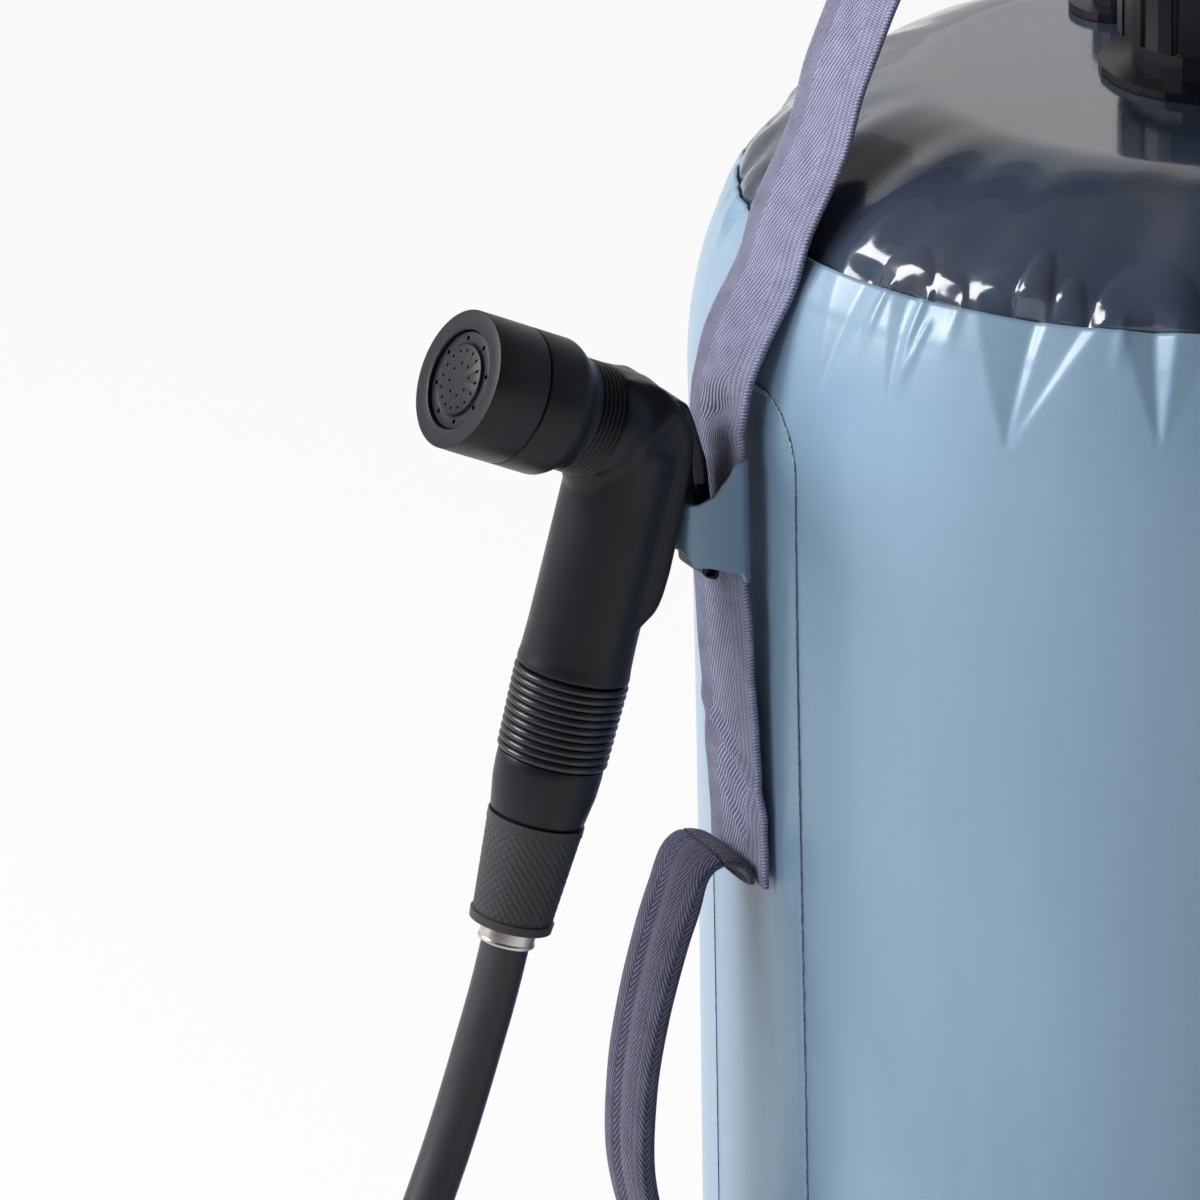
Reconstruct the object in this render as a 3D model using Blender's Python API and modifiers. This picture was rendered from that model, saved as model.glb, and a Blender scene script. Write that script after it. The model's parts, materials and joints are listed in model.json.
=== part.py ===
# Camp shower bag: a self-standing water bag with a carry strap, two side handles, a trigger
# sprayer hung by its lever in a side loop, and a hose from the sprayer to a low outlet.
# Metres, +Z up. The origin is the centre of the bag's flat base. -X is the sprayer's side.

import math

import bmesh
import bpy
from mathutils import Matrix, Vector

for old in list(bpy.data.objects):
    bpy.data.objects.remove(old, do_unlink=True)

# Shared clearances and build values
GAP = 0.0003              # between two pieces that seat on each other
RUN = 0.0004              # between a moving piece and what guides it
OVERRUN = 0.004           # how far a cutter runs past the faces it cuts
MERGE = 0.00005
BAG_STEPS = 48
PIECE_STEPS = 24
SMALL_STEPS = 16
SHOULDER_STEPS = 4        # along the shoulder's arc

# Bag
BAG_RADIUS = 0.135
SKIN = 0.0010             # wall thickness
LAP = 0.010               # width of the welded laps
CROWN_HEIGHT = 0.400
SHOULDER_DROP = 0.075     # from the crown down to where the wall starts to curve inwards
SHOULDER_START = CROWN_HEIGHT - SHOULDER_DROP
SHOULDER_RADIUS = 0.101
SEAM_INSET = 0.0125       # how far the wall is drawn in at its upper edge
SEAM_RADIUS = BAG_RADIUS - SEAM_INSET
BASE_CORNER = 0.025
BASE_FLAT_RADIUS = BAG_RADIUS - BASE_CORNER
BASE_LAP_HEIGHT = BASE_CORNER + SKIN    # lower edge of the wall

# Side patch, welded over the wall on each side
PATCH_THICKNESS = 0.0008
PATCH_HALF_WIDTH = 0.0254
PATCH_CORNER = 0.018
PATCH_RISE = 0.017        # its upper edge above the shoulder's start
PATCH_TOP = SHOULDER_START + PATCH_RISE

# Webbing
STRAP_WIDTH = 0.030
STRAP_THICKNESS = 0.0016
STRAP_STAND_OFF = 0.0066  # middle of the strap beyond the wall, beside the loop
STRAP_DROP = 0.1096       # from the shoulder's start down to the strap's sewn lower end
STRAP_ANCHOR = SHOULDER_START - STRAP_DROP
STRAP_TACK = 0.016        # height of its sewn stretch
STRAP_RISE = 0.100        # from the crown up to the strap's top
STRAP_APEX = CROWN_HEIGHT + STRAP_RISE
HANDLE_WIDTH = 0.024
HANDLE_THICKNESS = 0.006
HANDLE_END_THICKNESS = 0.0030
HANDLE_FOOT_SHARE = 0.3621
HANDLE_FOOT = STRAP_ANCHOR * HANDLE_FOOT_SHARE     # height of the handle's lower end
PATCH_FOOT_SHARE = 0.6154
PATCH_BOTTOM = HANDLE_FOOT * PATCH_FOOT_SHARE
HANDLE_TACK = 0.022
HANDLE_REACH = 0.0285     # how far the grip's middle line stands out from its sewn end
# Out as a share of the reach, and up as a share of the height from foot to sewn end
HANDLE_LINE_SHARES = (
    (0.0, 0.0), (0.0, 0.016), (0.100, 0.040), (0.295, 0.048), (0.440, 0.026), (0.545, -0.033),
    (0.680, -0.109), (0.860, -0.240), (0.980, -0.380), (1.0, -0.545), (0.790, -0.705), (0.350, -0.815),
)

# Nozzle loop, a band round the strap that the sprayer's lever hangs in
LOOP_THICKNESS = 0.0010
LOOP_REACH = 0.0174       # from its back to its outer end
LOOP_SQUARE_SHARE = 0.34  # how square its outer end is, 1 for a round one
LOOP_RISE = 0.0030        # its upper edge above the shoulder's start
LOOP_TOP = SHOULDER_START + LOOP_RISE
LOOP_HEIGHT = 0.0310
LOOP_TAPER_TOP_SHARES = (
    (-0.30, 1.0), (0.211, 0.952), (0.411, 0.81), (0.588, 0.71), (0.835, 0.66), (1.2, 0.64),
)
LOOP_TAPER_LOW_SHARES = (
    (1.2, 0.40), (0.976, 0.37), (0.882, 0.245), (0.706, 0.16), (0.175, 0.05), (-0.30, 0.0),
)

# Fill port and air valve on the crown
NECK_RADIUS = 0.026
NECK_BORE = 0.0225
NECK_HEIGHT = 0.020
NECK_FLANGE_RADIUS = 0.034
NECK_FLANGE = 0.0020
GASKET_THICKNESS = 0.0020
FILL_CAP_WALL = 0.0030
FILL_CAP_TOP = 0.0035
FILL_CAP_DEPTH = 0.0150
FILL_CAP_GRIPS = 18
FILL_CAP_GRIP_RADIUS = 0.0012
VALVE_FLANGE_RADIUS = 0.0155
VALVE_CLEAR = 0.0055      # between the flanges of the fill neck and the air valve
VALVE_PLACE = NECK_FLANGE_RADIUS + VALVE_CLEAR + VALVE_FLANGE_RADIUS    # from the axis, towards +Y
CROWN_MARGIN = 0.0045     # from the valve's flange to the edge of the crown's flat
CROWN_FLAT_RADIUS = VALVE_PLACE + VALVE_FLANGE_RADIUS + CROWN_MARGIN
VALVE_RADIUS = 0.0095
VALVE_BORE = 0.0060
VALVE_HEIGHT = 0.0100
VALVE_SEAT_DEPTH = 0.0080
VALVE_FLAP = 0.0010
PLUG_TOP = 0.0025
PLUG_DEPTH = 0.0040

# Outlet, low on the wall
OUTLET_BEARING = math.radians(250.0)
OUTLET_CLEAR = 0.0035     # between its inner flange and the base's lap
SPOUT_RADIUS = 0.0096
SPOUT_BORE = 0.0055
SPOUT_LENGTH = 0.0300     # from the flange to the tip
OUTLET_FLANGE_RADIUS = 0.0180
OUTLET_HEIGHT = BASE_LAP_HEIGHT + LAP + OUTLET_CLEAR + OUTLET_FLANGE_RADIUS
OUTLET_FLANGE = 0.0022
WASHER_RADIUS = 0.0165
WASHER = 0.0022
LOCK_NUT_RADIUS = 0.0150
LOCK_NUT = 0.0055
FILTER = 0.0012
FILTER_HOLES = 6
FILTER_HOLE_RADIUS = 0.0010

# Hose and its fittings, alike at both ends
HOSE_RADIUS = 0.00595
NUT_LENGTH = 0.0275
NUT_TOP_RADIUS = 0.0119
NUT_LOW_RADIUS = 0.0098
NUT_LIP = 0.0012
NUT_LIP_LENGTH = 0.0022
NUT_CUP = 0.0090          # depth of the threaded cup
NUT_CUP_RADIUS = 0.0100
TAIL_FLANGE_RADIUS = 0.0094
TAIL_FLANGE = 0.0020
TAIL_RADIUS = 0.0050
TAIL_BORE = 0.0032
FERRULE_WALL = 0.0006
FERRULE_LENGTH = 0.0080
FERRULE_SHOWS = 0.0048    # length of ferrule below the nut
RUBBER_WASHER = 0.0018

# Sprayer: its elbow is where the head's axis meets the handle's axis
ELBOW_OUT = 0.0307        # beyond the wall
ELBOW_ASIDE = 0.0036      # towards -Y
ELBOW_RISE = 0.0098       # above the shoulder's start
ELBOW = Vector((-BAG_RADIUS - ELBOW_OUT, -ELBOW_ASIDE, SHOULDER_START + ELBOW_RISE))
SPRAYER_YAW = math.radians(184.09)
SPRAYER_LEAN = math.radians(15.70)
SPRAYER_ROLL = math.radians(-1.95)
HEAD_TILT = math.radians(10.16)
HEAD_REACH = 0.0513       # elbow to spray face
CAP_RADIUS = 0.0168
CAP_LENGTH = 0.0147
CAP_WALL = 0.0022
CAP_MOUTH = 0.0120
CAP_LIP = 0.0020
SPIGOT_LENGTH = 0.0075
BULGE_LENGTH = 0.0115
HEAD_NECK_RADIUS = 0.0139
HEAD_NECK_START = 0.0193
HEAD_RIBS = 6
HEAD_RIB_PITCH = 0.00125
HEAD_RIB_DEPTH = 0.00045
HEAD_BORE = 0.0065
PLATE_THICKNESS = 0.0026
PLATE_SINK = 0.0009       # spray face to the jet plate's outer ring
PLATE_DISC_SHARE = 0.725  # of the mouth's radius, as are the rings of jets
PLATE_DISC_RADIUS = CAP_MOUTH * PLATE_DISC_SHARE
PLATE_DISC_RISE = 0.0006
PLATE_GASKET_WIDTH = 0.0021
WIDE_JETS = 8
WIDE_JET_RADIUS = 0.00055
WIDE_JET_SHARE = 0.84
FINE_JETS = 16
FINE_JET_RADIUS = 0.00036
FINE_JET_SHARE = 0.583
MID_JETS = 8
MID_JET_SHARE = 0.325
FLOW_DISC = 0.0015
FLOW_HOLES = 5
FLOW_HOLE_RADIUS = 0.0013
FLOW_HOLE_CIRCLE = 0.0060
HANDLE_RADIUS = 0.0134    # of the sprayer's round handle
GRIP_START = 0.0608       # elbow to grip sleeve
GRIP_LENGTH = 0.0214
GRIP_RIBS = 11
GRIP_TOP_RADIUS = 0.0141
GRIP_LOW_RADIUS = 0.0136
GRIP_RIB_DEPTH = 0.0007
GRIP_WALL = 0.0016
TAPER_TOP_RADIUS = 0.0130
TAPER_LOW_RADIUS = 0.0117
NUT_START = 0.0979        # elbow to the hose nut's upper lip
HANDLE_BORE = 0.0050
STUB_RADIUS = 0.0092
HUMP_HALF_WIDTH = 0.0119
HUMP_BEVEL = 0.0016
HUMP_BACK = 0.0132        # from the handle's axis to the hump's back
HUMP_LENGTH = 0.0398
LEVER_WIDTH = 0.0134
LEVER_THICKNESS = 0.0043
LEVER_TIP = 0.0319
LEVER_SPLAY = math.radians(22.4)
PIVOT_BACK = 0.0070
PIVOT_UP = 0.0062
PIN_RADIUS = 0.0013
PIN_SEAT = 0.0030         # depth of the blind end of the pin's hole, beside the lever
VALVE_DROP = 0.0085       # elbow to the valve's axis
STEM_RADIUS = 0.0014
SPRING_WIRE = 0.0004
SPRING_RADIUS = 0.0031
SPRING_TURNS = 5
SPRING_TURN_POINTS = 9
CHAMBER_RADIUS = 0.0050
CHAMBER_FRONT = 0.0098
CHAMBER_BACK = 0.0026
SEAT_FRONT = 0.0040
SEAT_LENGTH = 0.0020
SEAT_BORE = 0.0024
DISC_RADIUS = 0.0041
DISC_THICKNESS = 0.0017
POCKET_FLOOR = 0.0062
SEAL_THICKNESS = 0.0012

# Hose coil on the ground beside the bag
COIL_OUT = 0.110          # its centre beyond the wall, along X
COIL_ASIDE = 0.030        # and along Y
COIL_CENTRE = Vector((-BAG_RADIUS - COIL_OUT, -BAG_RADIUS - COIL_ASIDE, 0.0))
COIL_OUTER = 0.0720       # radius of the outermost turn's middle line
COIL_TURNS = 2.25
COIL_PITCH = 0.0132
COIL_LAYER = 0.0128
COIL_POINTS = 24
FLOOR_GAP = 0.0003
# Chosen points of the two free stretches, each as its share of the way in x, y and z
HOSE_UPPER_SHARES = (
    (0.117, 0.013, 0.199), (0.276, 0.060, 0.385), (0.458, 0.139, 0.554), (0.642, 0.250, 0.703),
    (0.808, 0.392, 0.826), (0.936, 0.565, 0.920), (1.007, 0.768, 0.979),
)
HOSE_LOWER_SHARES = (
    (0.079, 0.495, 0.085), (0.198, 0.887, 0.293), (0.345, 1.143, 0.556), (0.508, 1.239, 0.805),
    (0.672, 1.180, 0.970), (0.836, 1.090, 1.0),
)

part = bpy.data.collections.new("camp_shower_bag")
cutters = bpy.data.collections.new("cutters")
for group in (part, cutters):
    bpy.context.scene.collection.children.link(group)


# Building blocks

def material(name, colour, roughness, metallic=0.0):
    made = bpy.data.materials.new(name)
    made.use_nodes = True
    shader = made.node_tree.nodes["Principled BSDF"]
    shader.inputs["Base Color"].default_value = (*colour, 1.0)
    shader.inputs["Roughness"].default_value = roughness
    shader.inputs["Metallic"].default_value = metallic
    return made


def add(name, data, finish=None, frame=None, turn=(0.0, 0.0, 0.0), place=(0.0, 0.0, 0.0)):
    """A part object, or a cutter when it has no finish."""
    made = bpy.data.objects.new(name, data)
    made.location = place
    made.rotation_euler = turn
    made.parent = frame
    if finish is None:
        cutters.objects.link(made)
        made.hide_render = True
        made.display_type = "WIRE"
    else:
        part.objects.link(made)
        data.materials.append(finish)
    return made


def empty(name, place=(0.0, 0.0, 0.0), turn=(0.0, 0.0, 0.0), frame=None):
    made = bpy.data.objects.new(name, None)
    made.location = place
    made.rotation_euler = turn
    made.parent = frame
    cutters.objects.link(made)
    return made


def turned(name, profile, finish=None, steps=PIECE_STEPS, closed=False, **where):
    """A turned shape: the profile (radius, height) runs down its outer side, from top to bottom."""
    data = bpy.data.meshes.new(name)
    edges = [(i, i + 1) for i in range(len(profile) - 1)]
    if closed:
        edges.append((len(profile) - 1, 0))
    data.from_pydata([(r, 0.0, z) for r, z in profile], edges, [])
    made = add(name, data, finish, **where)
    screw = made.modifiers.new("turn", "SCREW")
    screw.axis = "Z"
    screw.steps = screw.render_steps = steps
    screw.use_merge_vertices = True
    screw.merge_threshold = MERGE
    screw.use_smooth_shade = True
    return made


def ring(name, inner, outer, low, high, finish=None, **options):
    """A plain ring with a square section."""
    profile = [(outer, high), (outer, low), (inner, low), (inner, high)]
    return turned(name, profile, finish, closed=True, **options)


def disc(name, radius, low, high, finish=None, **options):
    return turned(name, [(0.0, high), (radius, high), (radius, low), (0.0, low)], finish, **options)


def slab(name, outlines, half, finish=None, turn=(math.radians(90.0), 0.0, 0.0), **where):
    """Flat outlines in the X-Z plane, made solid along Y by half their width on each side."""
    flat = bpy.data.curves.new(name, "CURVE")
    flat.dimensions = "2D"
    flat.fill_mode = "BOTH"
    flat.extrude = half
    for outline in outlines:
        line = flat.splines.new("POLY")
        line.points.add(len(outline) - 1)
        for point, (x, z) in zip(line.points, outline):
            point.co = (x, z, 0.0, 1.0)
        line.use_cyclic_u = True
    holder = bpy.data.objects.new(name, flat)
    bpy.context.scene.collection.objects.link(holder)
    bpy.context.view_layer.update()
    data = bpy.data.meshes.new_from_object(holder.evaluated_get(bpy.context.evaluated_depsgraph_get()))
    bpy.data.objects.remove(holder)
    weld = bmesh.new()
    weld.from_mesh(data)
    bmesh.ops.remove_doubles(weld, verts=weld.verts, dist=MERGE)
    bmesh.ops.transform(weld, matrix=Matrix.Rotation(turn[0], 4, "X"), verts=weld.verts)
    bmesh.ops.recalc_face_normals(weld, faces=weld.faces)
    weld.to_mesh(data)
    weld.free()
    data.name = name
    return add(name, data, finish, **where)


def combine(target, tool, operation="DIFFERENCE"):
    step = target.modifiers.new(operation.lower(), "BOOLEAN")
    step.operation = operation
    step.solver = "EXACT"
    step.object = tool
    return target


def drill(target, name, radius, low, high, steps=SMALL_STEPS, **where):
    """A round hole along the local Z of where it is placed."""
    return combine(target, disc(name, radius, low, high, steps=steps, **where))


def tube(name, points, radius, finish, resolution=2, **where):
    line = bpy.data.curves.new(name, "CURVE")
    line.dimensions = "3D"
    line.bevel_depth = radius
    line.bevel_resolution = resolution
    line.use_fill_caps = True
    run = line.splines.new("POLY")
    run.points.add(len(points) - 1)
    for point, place in zip(run.points, points):
        point.co = (*place, 1.0)
    return add(name, line, finish, **where)


def soften(target, width, segments=2):
    step = target.modifiers.new("soften", "BEVEL")
    step.width = width
    step.segments = segments
    step.limit_method = "ANGLE"
    step.angle_limit = math.radians(40.0)
    return target


def bezier(a, b, c, d, count):
    """Points on a cubic curve, ends included."""
    found = []
    for i in range(count + 1):
        t = i / count
        s = 1.0 - t
        found.append(tuple(
            s ** 3 * p + 3 * s * s * t * q + 3 * s * t * t * r + t ** 3 * w
            for p, q, r, w in zip(a, b, c, d)
        ))
    return found


def smooth_line(points, spacing):
    """Evenly spaced points on a smooth curve whose first and last stretches are straight."""
    fine = [points[1]]
    for before, a, b, after in zip(points, points[1:], points[2:], points[3:]):
        for i in range(1, 33):
            t = i / 32
            fine.append(0.5 * (
                2 * a + (b - before) * t
                + (2 * before - 5 * a + 4 * b - after) * t * t
                + (3 * a - before - 3 * b + after) * t ** 3
            ))
    total = sum((q - p).length for p, q in zip(fine, fine[1:]))
    steps = max(2, round(total / spacing))
    found = [fine[0]]
    walked = 0.0
    for p, q in zip(fine, fine[1:]):
        stretch = (q - p).length
        while len(found) < steps and walked + stretch >= len(found) * total / steps:
            found.append(p.lerp(q, (len(found) * total / steps - walked) / stretch))
        walked += stretch
    return [points[0], *found[:steps], fine[-1], points[-1]]


def band(line, thicknesses):
    """A closed outline round an (x, z) line, with a thickness at each of its points."""
    near, far = [], []
    for i, (x, z) in enumerate(line):
        ax, az = line[max(0, i - 1)]
        bx, bz = line[min(len(line) - 1, i + 1)]
        length = math.hypot(bx - ax, bz - az)
        nx, nz = (bz - az) / length, -(bx - ax) / length
        half = thicknesses[i] / 2
        near.append((x + nx * half, z + nz * half))
        far.append((x - nx * half, z - nz * half))
    return near + far[::-1]


# Materials

FABRIC = material("coated_fabric", (0.21, 0.33, 0.43), 0.42)
DARK_FABRIC = material("dark_glossy_fabric", (0.045, 0.06, 0.085), 0.12)
WEBBING = material("webbing", (0.20, 0.20, 0.31), 0.85)
BLACK = material("black_plastic", (0.012, 0.012, 0.016), 0.38)
DARK_GREY = material("dark_grey_plastic", (0.03, 0.03, 0.035), 0.5)
RUBBER = material("black_rubber", (0.015, 0.015, 0.015), 0.75)
HOSE = material("hose_rubber", (0.02, 0.02, 0.024), 0.55)
STEEL = material("steel", (0.62, 0.58, 0.56), 0.28, 1.0)
BRASS = material("brass", (0.70, 0.52, 0.25), 0.3, 1.0)


# Bag shell

def shoulder_point(offset, share):
    """A point on the shoulder's arc, offset outwards from the wall's outer face."""
    turn = SHOULDER_TURN * share
    radius = BAG_RADIUS - SHOULDER_RADIUS + (SHOULDER_RADIUS + offset) * math.cos(turn)
    return radius, SHOULDER_START + (SHOULDER_RADIUS + offset) * math.sin(turn)


SHOULDER_TURN = math.acos(1.0 - (BAG_RADIUS - SEAM_RADIUS) / SHOULDER_RADIUS)
SEAM_HEIGHT = SHOULDER_START + SHOULDER_RADIUS * math.sin(SHOULDER_TURN)
INNER_RADIUS = BAG_RADIUS - SKIN


def bag_wall():
    outer = [shoulder_point(0.0, i / SHOULDER_STEPS) for i in range(SHOULDER_STEPS, -1, -1)]
    inner = [shoulder_point(-SKIN, i / SHOULDER_STEPS) for i in range(SHOULDER_STEPS + 1)]
    profile = outer + [(BAG_RADIUS, BASE_LAP_HEIGHT), (INNER_RADIUS, BASE_LAP_HEIGHT)] + inner
    wall = turned("bag_wall", profile, FABRIC, steps=BAG_STEPS, closed=True)
    drill(wall, "outlet_hole", SPOUT_RADIUS + GAP, INNER_RADIUS - OVERRUN, BAG_RADIUS + OVERRUN, frame=OUTLET)


def top_panel():
    lap_share = 1.0 - LAP / (SHOULDER_RADIUS * SHOULDER_TURN)
    skirt = [shoulder_point(-SKIN - GAP, share) for share in (1.0, lap_share)]
    start = skirt[0]
    lead = (CROWN_HEIGHT - start[1]) * 0.62
    steer = (start[0] - math.sin(SHOULDER_TURN) * lead, start[1] + math.cos(SHOULDER_TURN) * lead)
    flat = (CROWN_FLAT_RADIUS, CROWN_HEIGHT)
    ease = (CROWN_FLAT_RADIUS + lead, CROWN_HEIGHT)
    crown = bezier(flat, ease, steer, start, 5)
    outer = crown + skirt[1:]
    profile = outer + inset(outer, SKIN)[::-1]
    panel = turned("top_panel", [(NECK_BORE, CROWN_HEIGHT), *profile, (NECK_BORE, CROWN_HEIGHT - SKIN)],
                   DARK_FABRIC, steps=BAG_STEPS, closed=True)
    drill(panel, "air_hole", VALVE_BORE, CROWN_HEIGHT - OVERRUN, CROWN_HEIGHT + OVERRUN,
          place=(0.0, VALVE_PLACE, 0.0))


def inset(line, depth):
    """The line moved inwards, square to itself, for the other face of a skin."""
    moved = []
    for i, (r, z) in enumerate(line):
        ar, az = line[max(0, i - 1)]
        br, bz = line[min(len(line) - 1, i + 1)]
        length = math.hypot(br - ar, bz - az)
        moved.append((r + (bz - az) / length * depth, z - (br - ar) / length * depth))
    return moved


def bottom_panel():
    outer_radius = INNER_RADIUS - GAP
    corner = outer_radius - BASE_FLAT_RADIUS
    lap_top = BASE_LAP_HEIGHT + LAP
    outer, inner = [], []
    for i in range(5):
        turn = math.radians(90.0) * i / 4
        outward, down = math.cos(turn), math.sin(turn)
        outer.append((BASE_FLAT_RADIUS + corner * outward, corner - corner * down))
        inner.append((BASE_FLAT_RADIUS + (corner - SKIN) * outward, corner - (corner - SKIN) * down))
    lap = [(outer_radius - SKIN, lap_top), (outer_radius, lap_top)]
    turned("bottom_panel", [(0.0, SKIN), *inner[::-1], *lap, *outer, (0.0, 0.0)], FABRIC, steps=BAG_STEPS)


def rounded_rectangle(half_width, low, high, corner, arc_points=6):
    """The outline of a patch with round corners."""
    found = []
    for cx, cz, start in ((half_width - corner, high - corner, 0), (corner - half_width, high - corner, 90),
                          (corner - half_width, low + corner, 180), (half_width - corner, low + corner, 270)):
        for i in range(arc_points + 1):
            turn = math.radians(start + 90.0 * i / arc_points)
            found.append((cx + corner * math.cos(turn), cz + corner * math.sin(turn)))
    return found


def side_patch(name, side):
    low, high = GAP, GAP + PATCH_THICKNESS
    covered = SHOULDER_STEPS - 1
    outer = [shoulder_point(high, i / SHOULDER_STEPS) for i in range(covered, -1, -1)]
    inner = [shoulder_point(low, i / SHOULDER_STEPS) for i in range(covered + 1)]
    foot = PATCH_BOTTOM - OVERRUN
    profile = outer + [(BAG_RADIUS + high, foot), (BAG_RADIUS + low, foot)] + inner
    patch = turned(name, profile, FABRIC, steps=BAG_STEPS, closed=True)
    outline = rounded_rectangle(PATCH_HALF_WIDTH, PATCH_BOTTOM, PATCH_TOP, PATCH_CORNER)
    block = slab(name + "_outline", [outline], BAG_RADIUS / 2, turn=(math.radians(90.0), 0.0, 0.0),
                 place=(0.0, side * BAG_RADIUS, 0.0))
    turn_about_z(block, -90.0)
    combine(patch, block, "INTERSECT")


def turn_about_z(target, degrees):
    """Turns a placed object about the bag's axis."""
    spin = Matrix.Rotation(math.radians(degrees), 4, "Z")
    target.matrix_basis = spin @ target.matrix_basis


# Webbing

PATCH_FACE = BAG_RADIUS + GAP + PATCH_THICKNESS
SEWN = PATCH_FACE + GAP + STRAP_THICKNESS / 2
STOOD_OFF = BAG_RADIUS + STRAP_STAND_OFF


def strap_side():
    """One side of the carry strap's line, from its sewn end up to the apex, as (x, z) with x outwards."""
    shoulder = SHOULDER_START
    rise = STRAP_APEX - CROWN_HEIGHT
    line = [
        (SEWN, STRAP_ANCHOR),
        (SEWN, STRAP_ANCHOR + STRAP_TACK * 0.75),
        ((SEWN + STOOD_OFF) / 2, STRAP_ANCHOR + STRAP_TACK * 1.25),
        (STOOD_OFF, STRAP_ANCHOR + STRAP_TACK * 2.0),
        (STOOD_OFF, STRAP_ANCHOR + STRAP_TACK * 5.0),
        (STOOD_OFF, shoulder + LAP),
        (STOOD_OFF - STRAP_STAND_OFF * 0.5, shoulder + LAP * 2.4),
        (STOOD_OFF - STRAP_STAND_OFF * 2.0, shoulder + LAP * 4.25),
    ]
    top = [
        (SEAM_RADIUS + STRAP_THICKNESS, SEAM_HEIGHT + LAP * 0.55),
        (SEAM_RADIUS * 0.93, CROWN_HEIGHT - LAP * 0.05),
    ]
    apex = bezier(top[-1], (SEAM_RADIUS * 0.78, CROWN_HEIGHT + rise * 0.62),
                  (SEAM_RADIUS * 0.42, STRAP_APEX), (0.0, STRAP_APEX), 9)
    return line + top + apex[1:]


def carry_strap():
    side = strap_side()
    line = [(-x, z) for x, z in side] + [(x, z) for x, z in side[-2::-1]]
    slab("carry_strap", [band(line, [STRAP_THICKNESS] * len(line))], STRAP_WIDTH / 2, WEBBING)


def side_handle(name, side):
    """Webbing folded into a soft grip: out from its sewn end, over a kink, down and back to its foot."""
    sewn = PATCH_FACE + 2 * GAP + STRAP_THICKNESS + HANDLE_END_THICKNESS / 2
    foot = PATCH_FACE + GAP + HANDLE_END_THICKNESS / 2
    start = STRAP_ANCHOR + GAP * 2
    drop = start - HANDLE_FOOT
    line = [(sewn + HANDLE_REACH * out, start + drop * up) for out, up in HANDLE_LINE_SHARES]
    line += [(foot, HANDLE_FOOT + HANDLE_TACK), (foot, HANDLE_FOOT)]
    thick = [HANDLE_END_THICKNESS] * 2 + [HANDLE_THICKNESS * 0.8] + [HANDLE_THICKNESS] * (len(line) - 6)
    thick += [HANDLE_THICKNESS * 0.8] + [HANDLE_END_THICKNESS] * 2
    line = [(side * x, z) for x, z in line]
    soften(slab(name, [band(line, thick)], HANDLE_WIDTH / 2, WEBBING), HANDLE_END_THICKNESS / 4, 1)


def nozzle_loop():
    """A closed band of coated fabric: flat behind the strap, round in front of the lever."""
    back = STOOD_OFF - STRAP_THICKNESS / 2 - GAP - LOOP_THICKNESS
    outlines = []
    for inward in (0.0, LOOP_THICKNESS):
        half = STRAP_WIDTH / 2 + RUN + LOOP_THICKNESS - inward
        start = back + inward
        reach = LOOP_REACH - 2 * inward
        outline = []
        for i in range(17):
            turn = math.radians(180.0) * i / 16
            across = math.copysign(abs(math.cos(turn)) ** LOOP_SQUARE_SHARE, math.cos(turn))
            outline.append((-start - reach * math.sin(turn) ** LOOP_SQUARE_SHARE, half * across))
        outlines.append(outline)
    loop = slab("nozzle_loop", outlines, LOOP_HEIGHT, FABRIC, turn=(0.0, 0.0, 0.0),
                place=(0.0, 0.0, LOOP_TOP))
    low = LOOP_TOP - LOOP_HEIGHT
    trim = [(-back - LOOP_REACH * out, low + LOOP_HEIGHT * up)
            for out, up in (*LOOP_TAPER_TOP_SHARES, *LOOP_TAPER_LOW_SHARES)]
    combine(loop, slab("loop_taper", [trim], STRAP_WIDTH), "INTERSECT")


# Fill port, air valve

NECK_BASE = CROWN_HEIGHT + GAP
NECK_TOP = NECK_BASE + NECK_FLANGE + NECK_HEIGHT
CAP_BORE = NECK_RADIUS + RUN
CAP_ROOF = NECK_TOP + GAP + GASKET_THICKNESS + GAP


def fill_port():
    neck = [
        (NECK_RADIUS, NECK_TOP), (NECK_RADIUS, NECK_BASE + NECK_FLANGE),
        (NECK_FLANGE_RADIUS, NECK_BASE + NECK_FLANGE), (NECK_FLANGE_RADIUS, NECK_BASE),
        (NECK_BORE, NECK_BASE), (NECK_BORE, NECK_TOP),
    ]
    turned("fill_neck", neck, BLACK, closed=True)
    ring("fill_gasket", NECK_BORE, NECK_RADIUS, NECK_TOP + GAP, NECK_TOP + GAP + GASKET_THICKNESS, RUBBER)
    outer = CAP_BORE + FILL_CAP_WALL
    rim = CAP_ROOF - FILL_CAP_DEPTH
    cap = turned("fill_cap", [
        (0.0, CAP_ROOF + FILL_CAP_TOP), (outer - FILL_CAP_WALL / 2, CAP_ROOF + FILL_CAP_TOP),
        (outer, CAP_ROOF + FILL_CAP_TOP - FILL_CAP_WALL / 2), (outer, rim),
        (CAP_BORE, rim), (CAP_BORE, CAP_ROOF), (0.0, CAP_ROOF),
    ], BLACK, steps=2 * FILL_CAP_GRIPS)
    for i in range(FILL_CAP_GRIPS):
        turn = math.tau * (i + 0.5) / FILL_CAP_GRIPS
        drill(cap, f"cap_grip_{i}", FILL_CAP_GRIP_RADIUS, rim - OVERRUN, CAP_ROOF + FILL_CAP_TOP + OVERRUN, steps=8,
              place=(outer * math.cos(turn), outer * math.sin(turn), 0.0))


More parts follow.
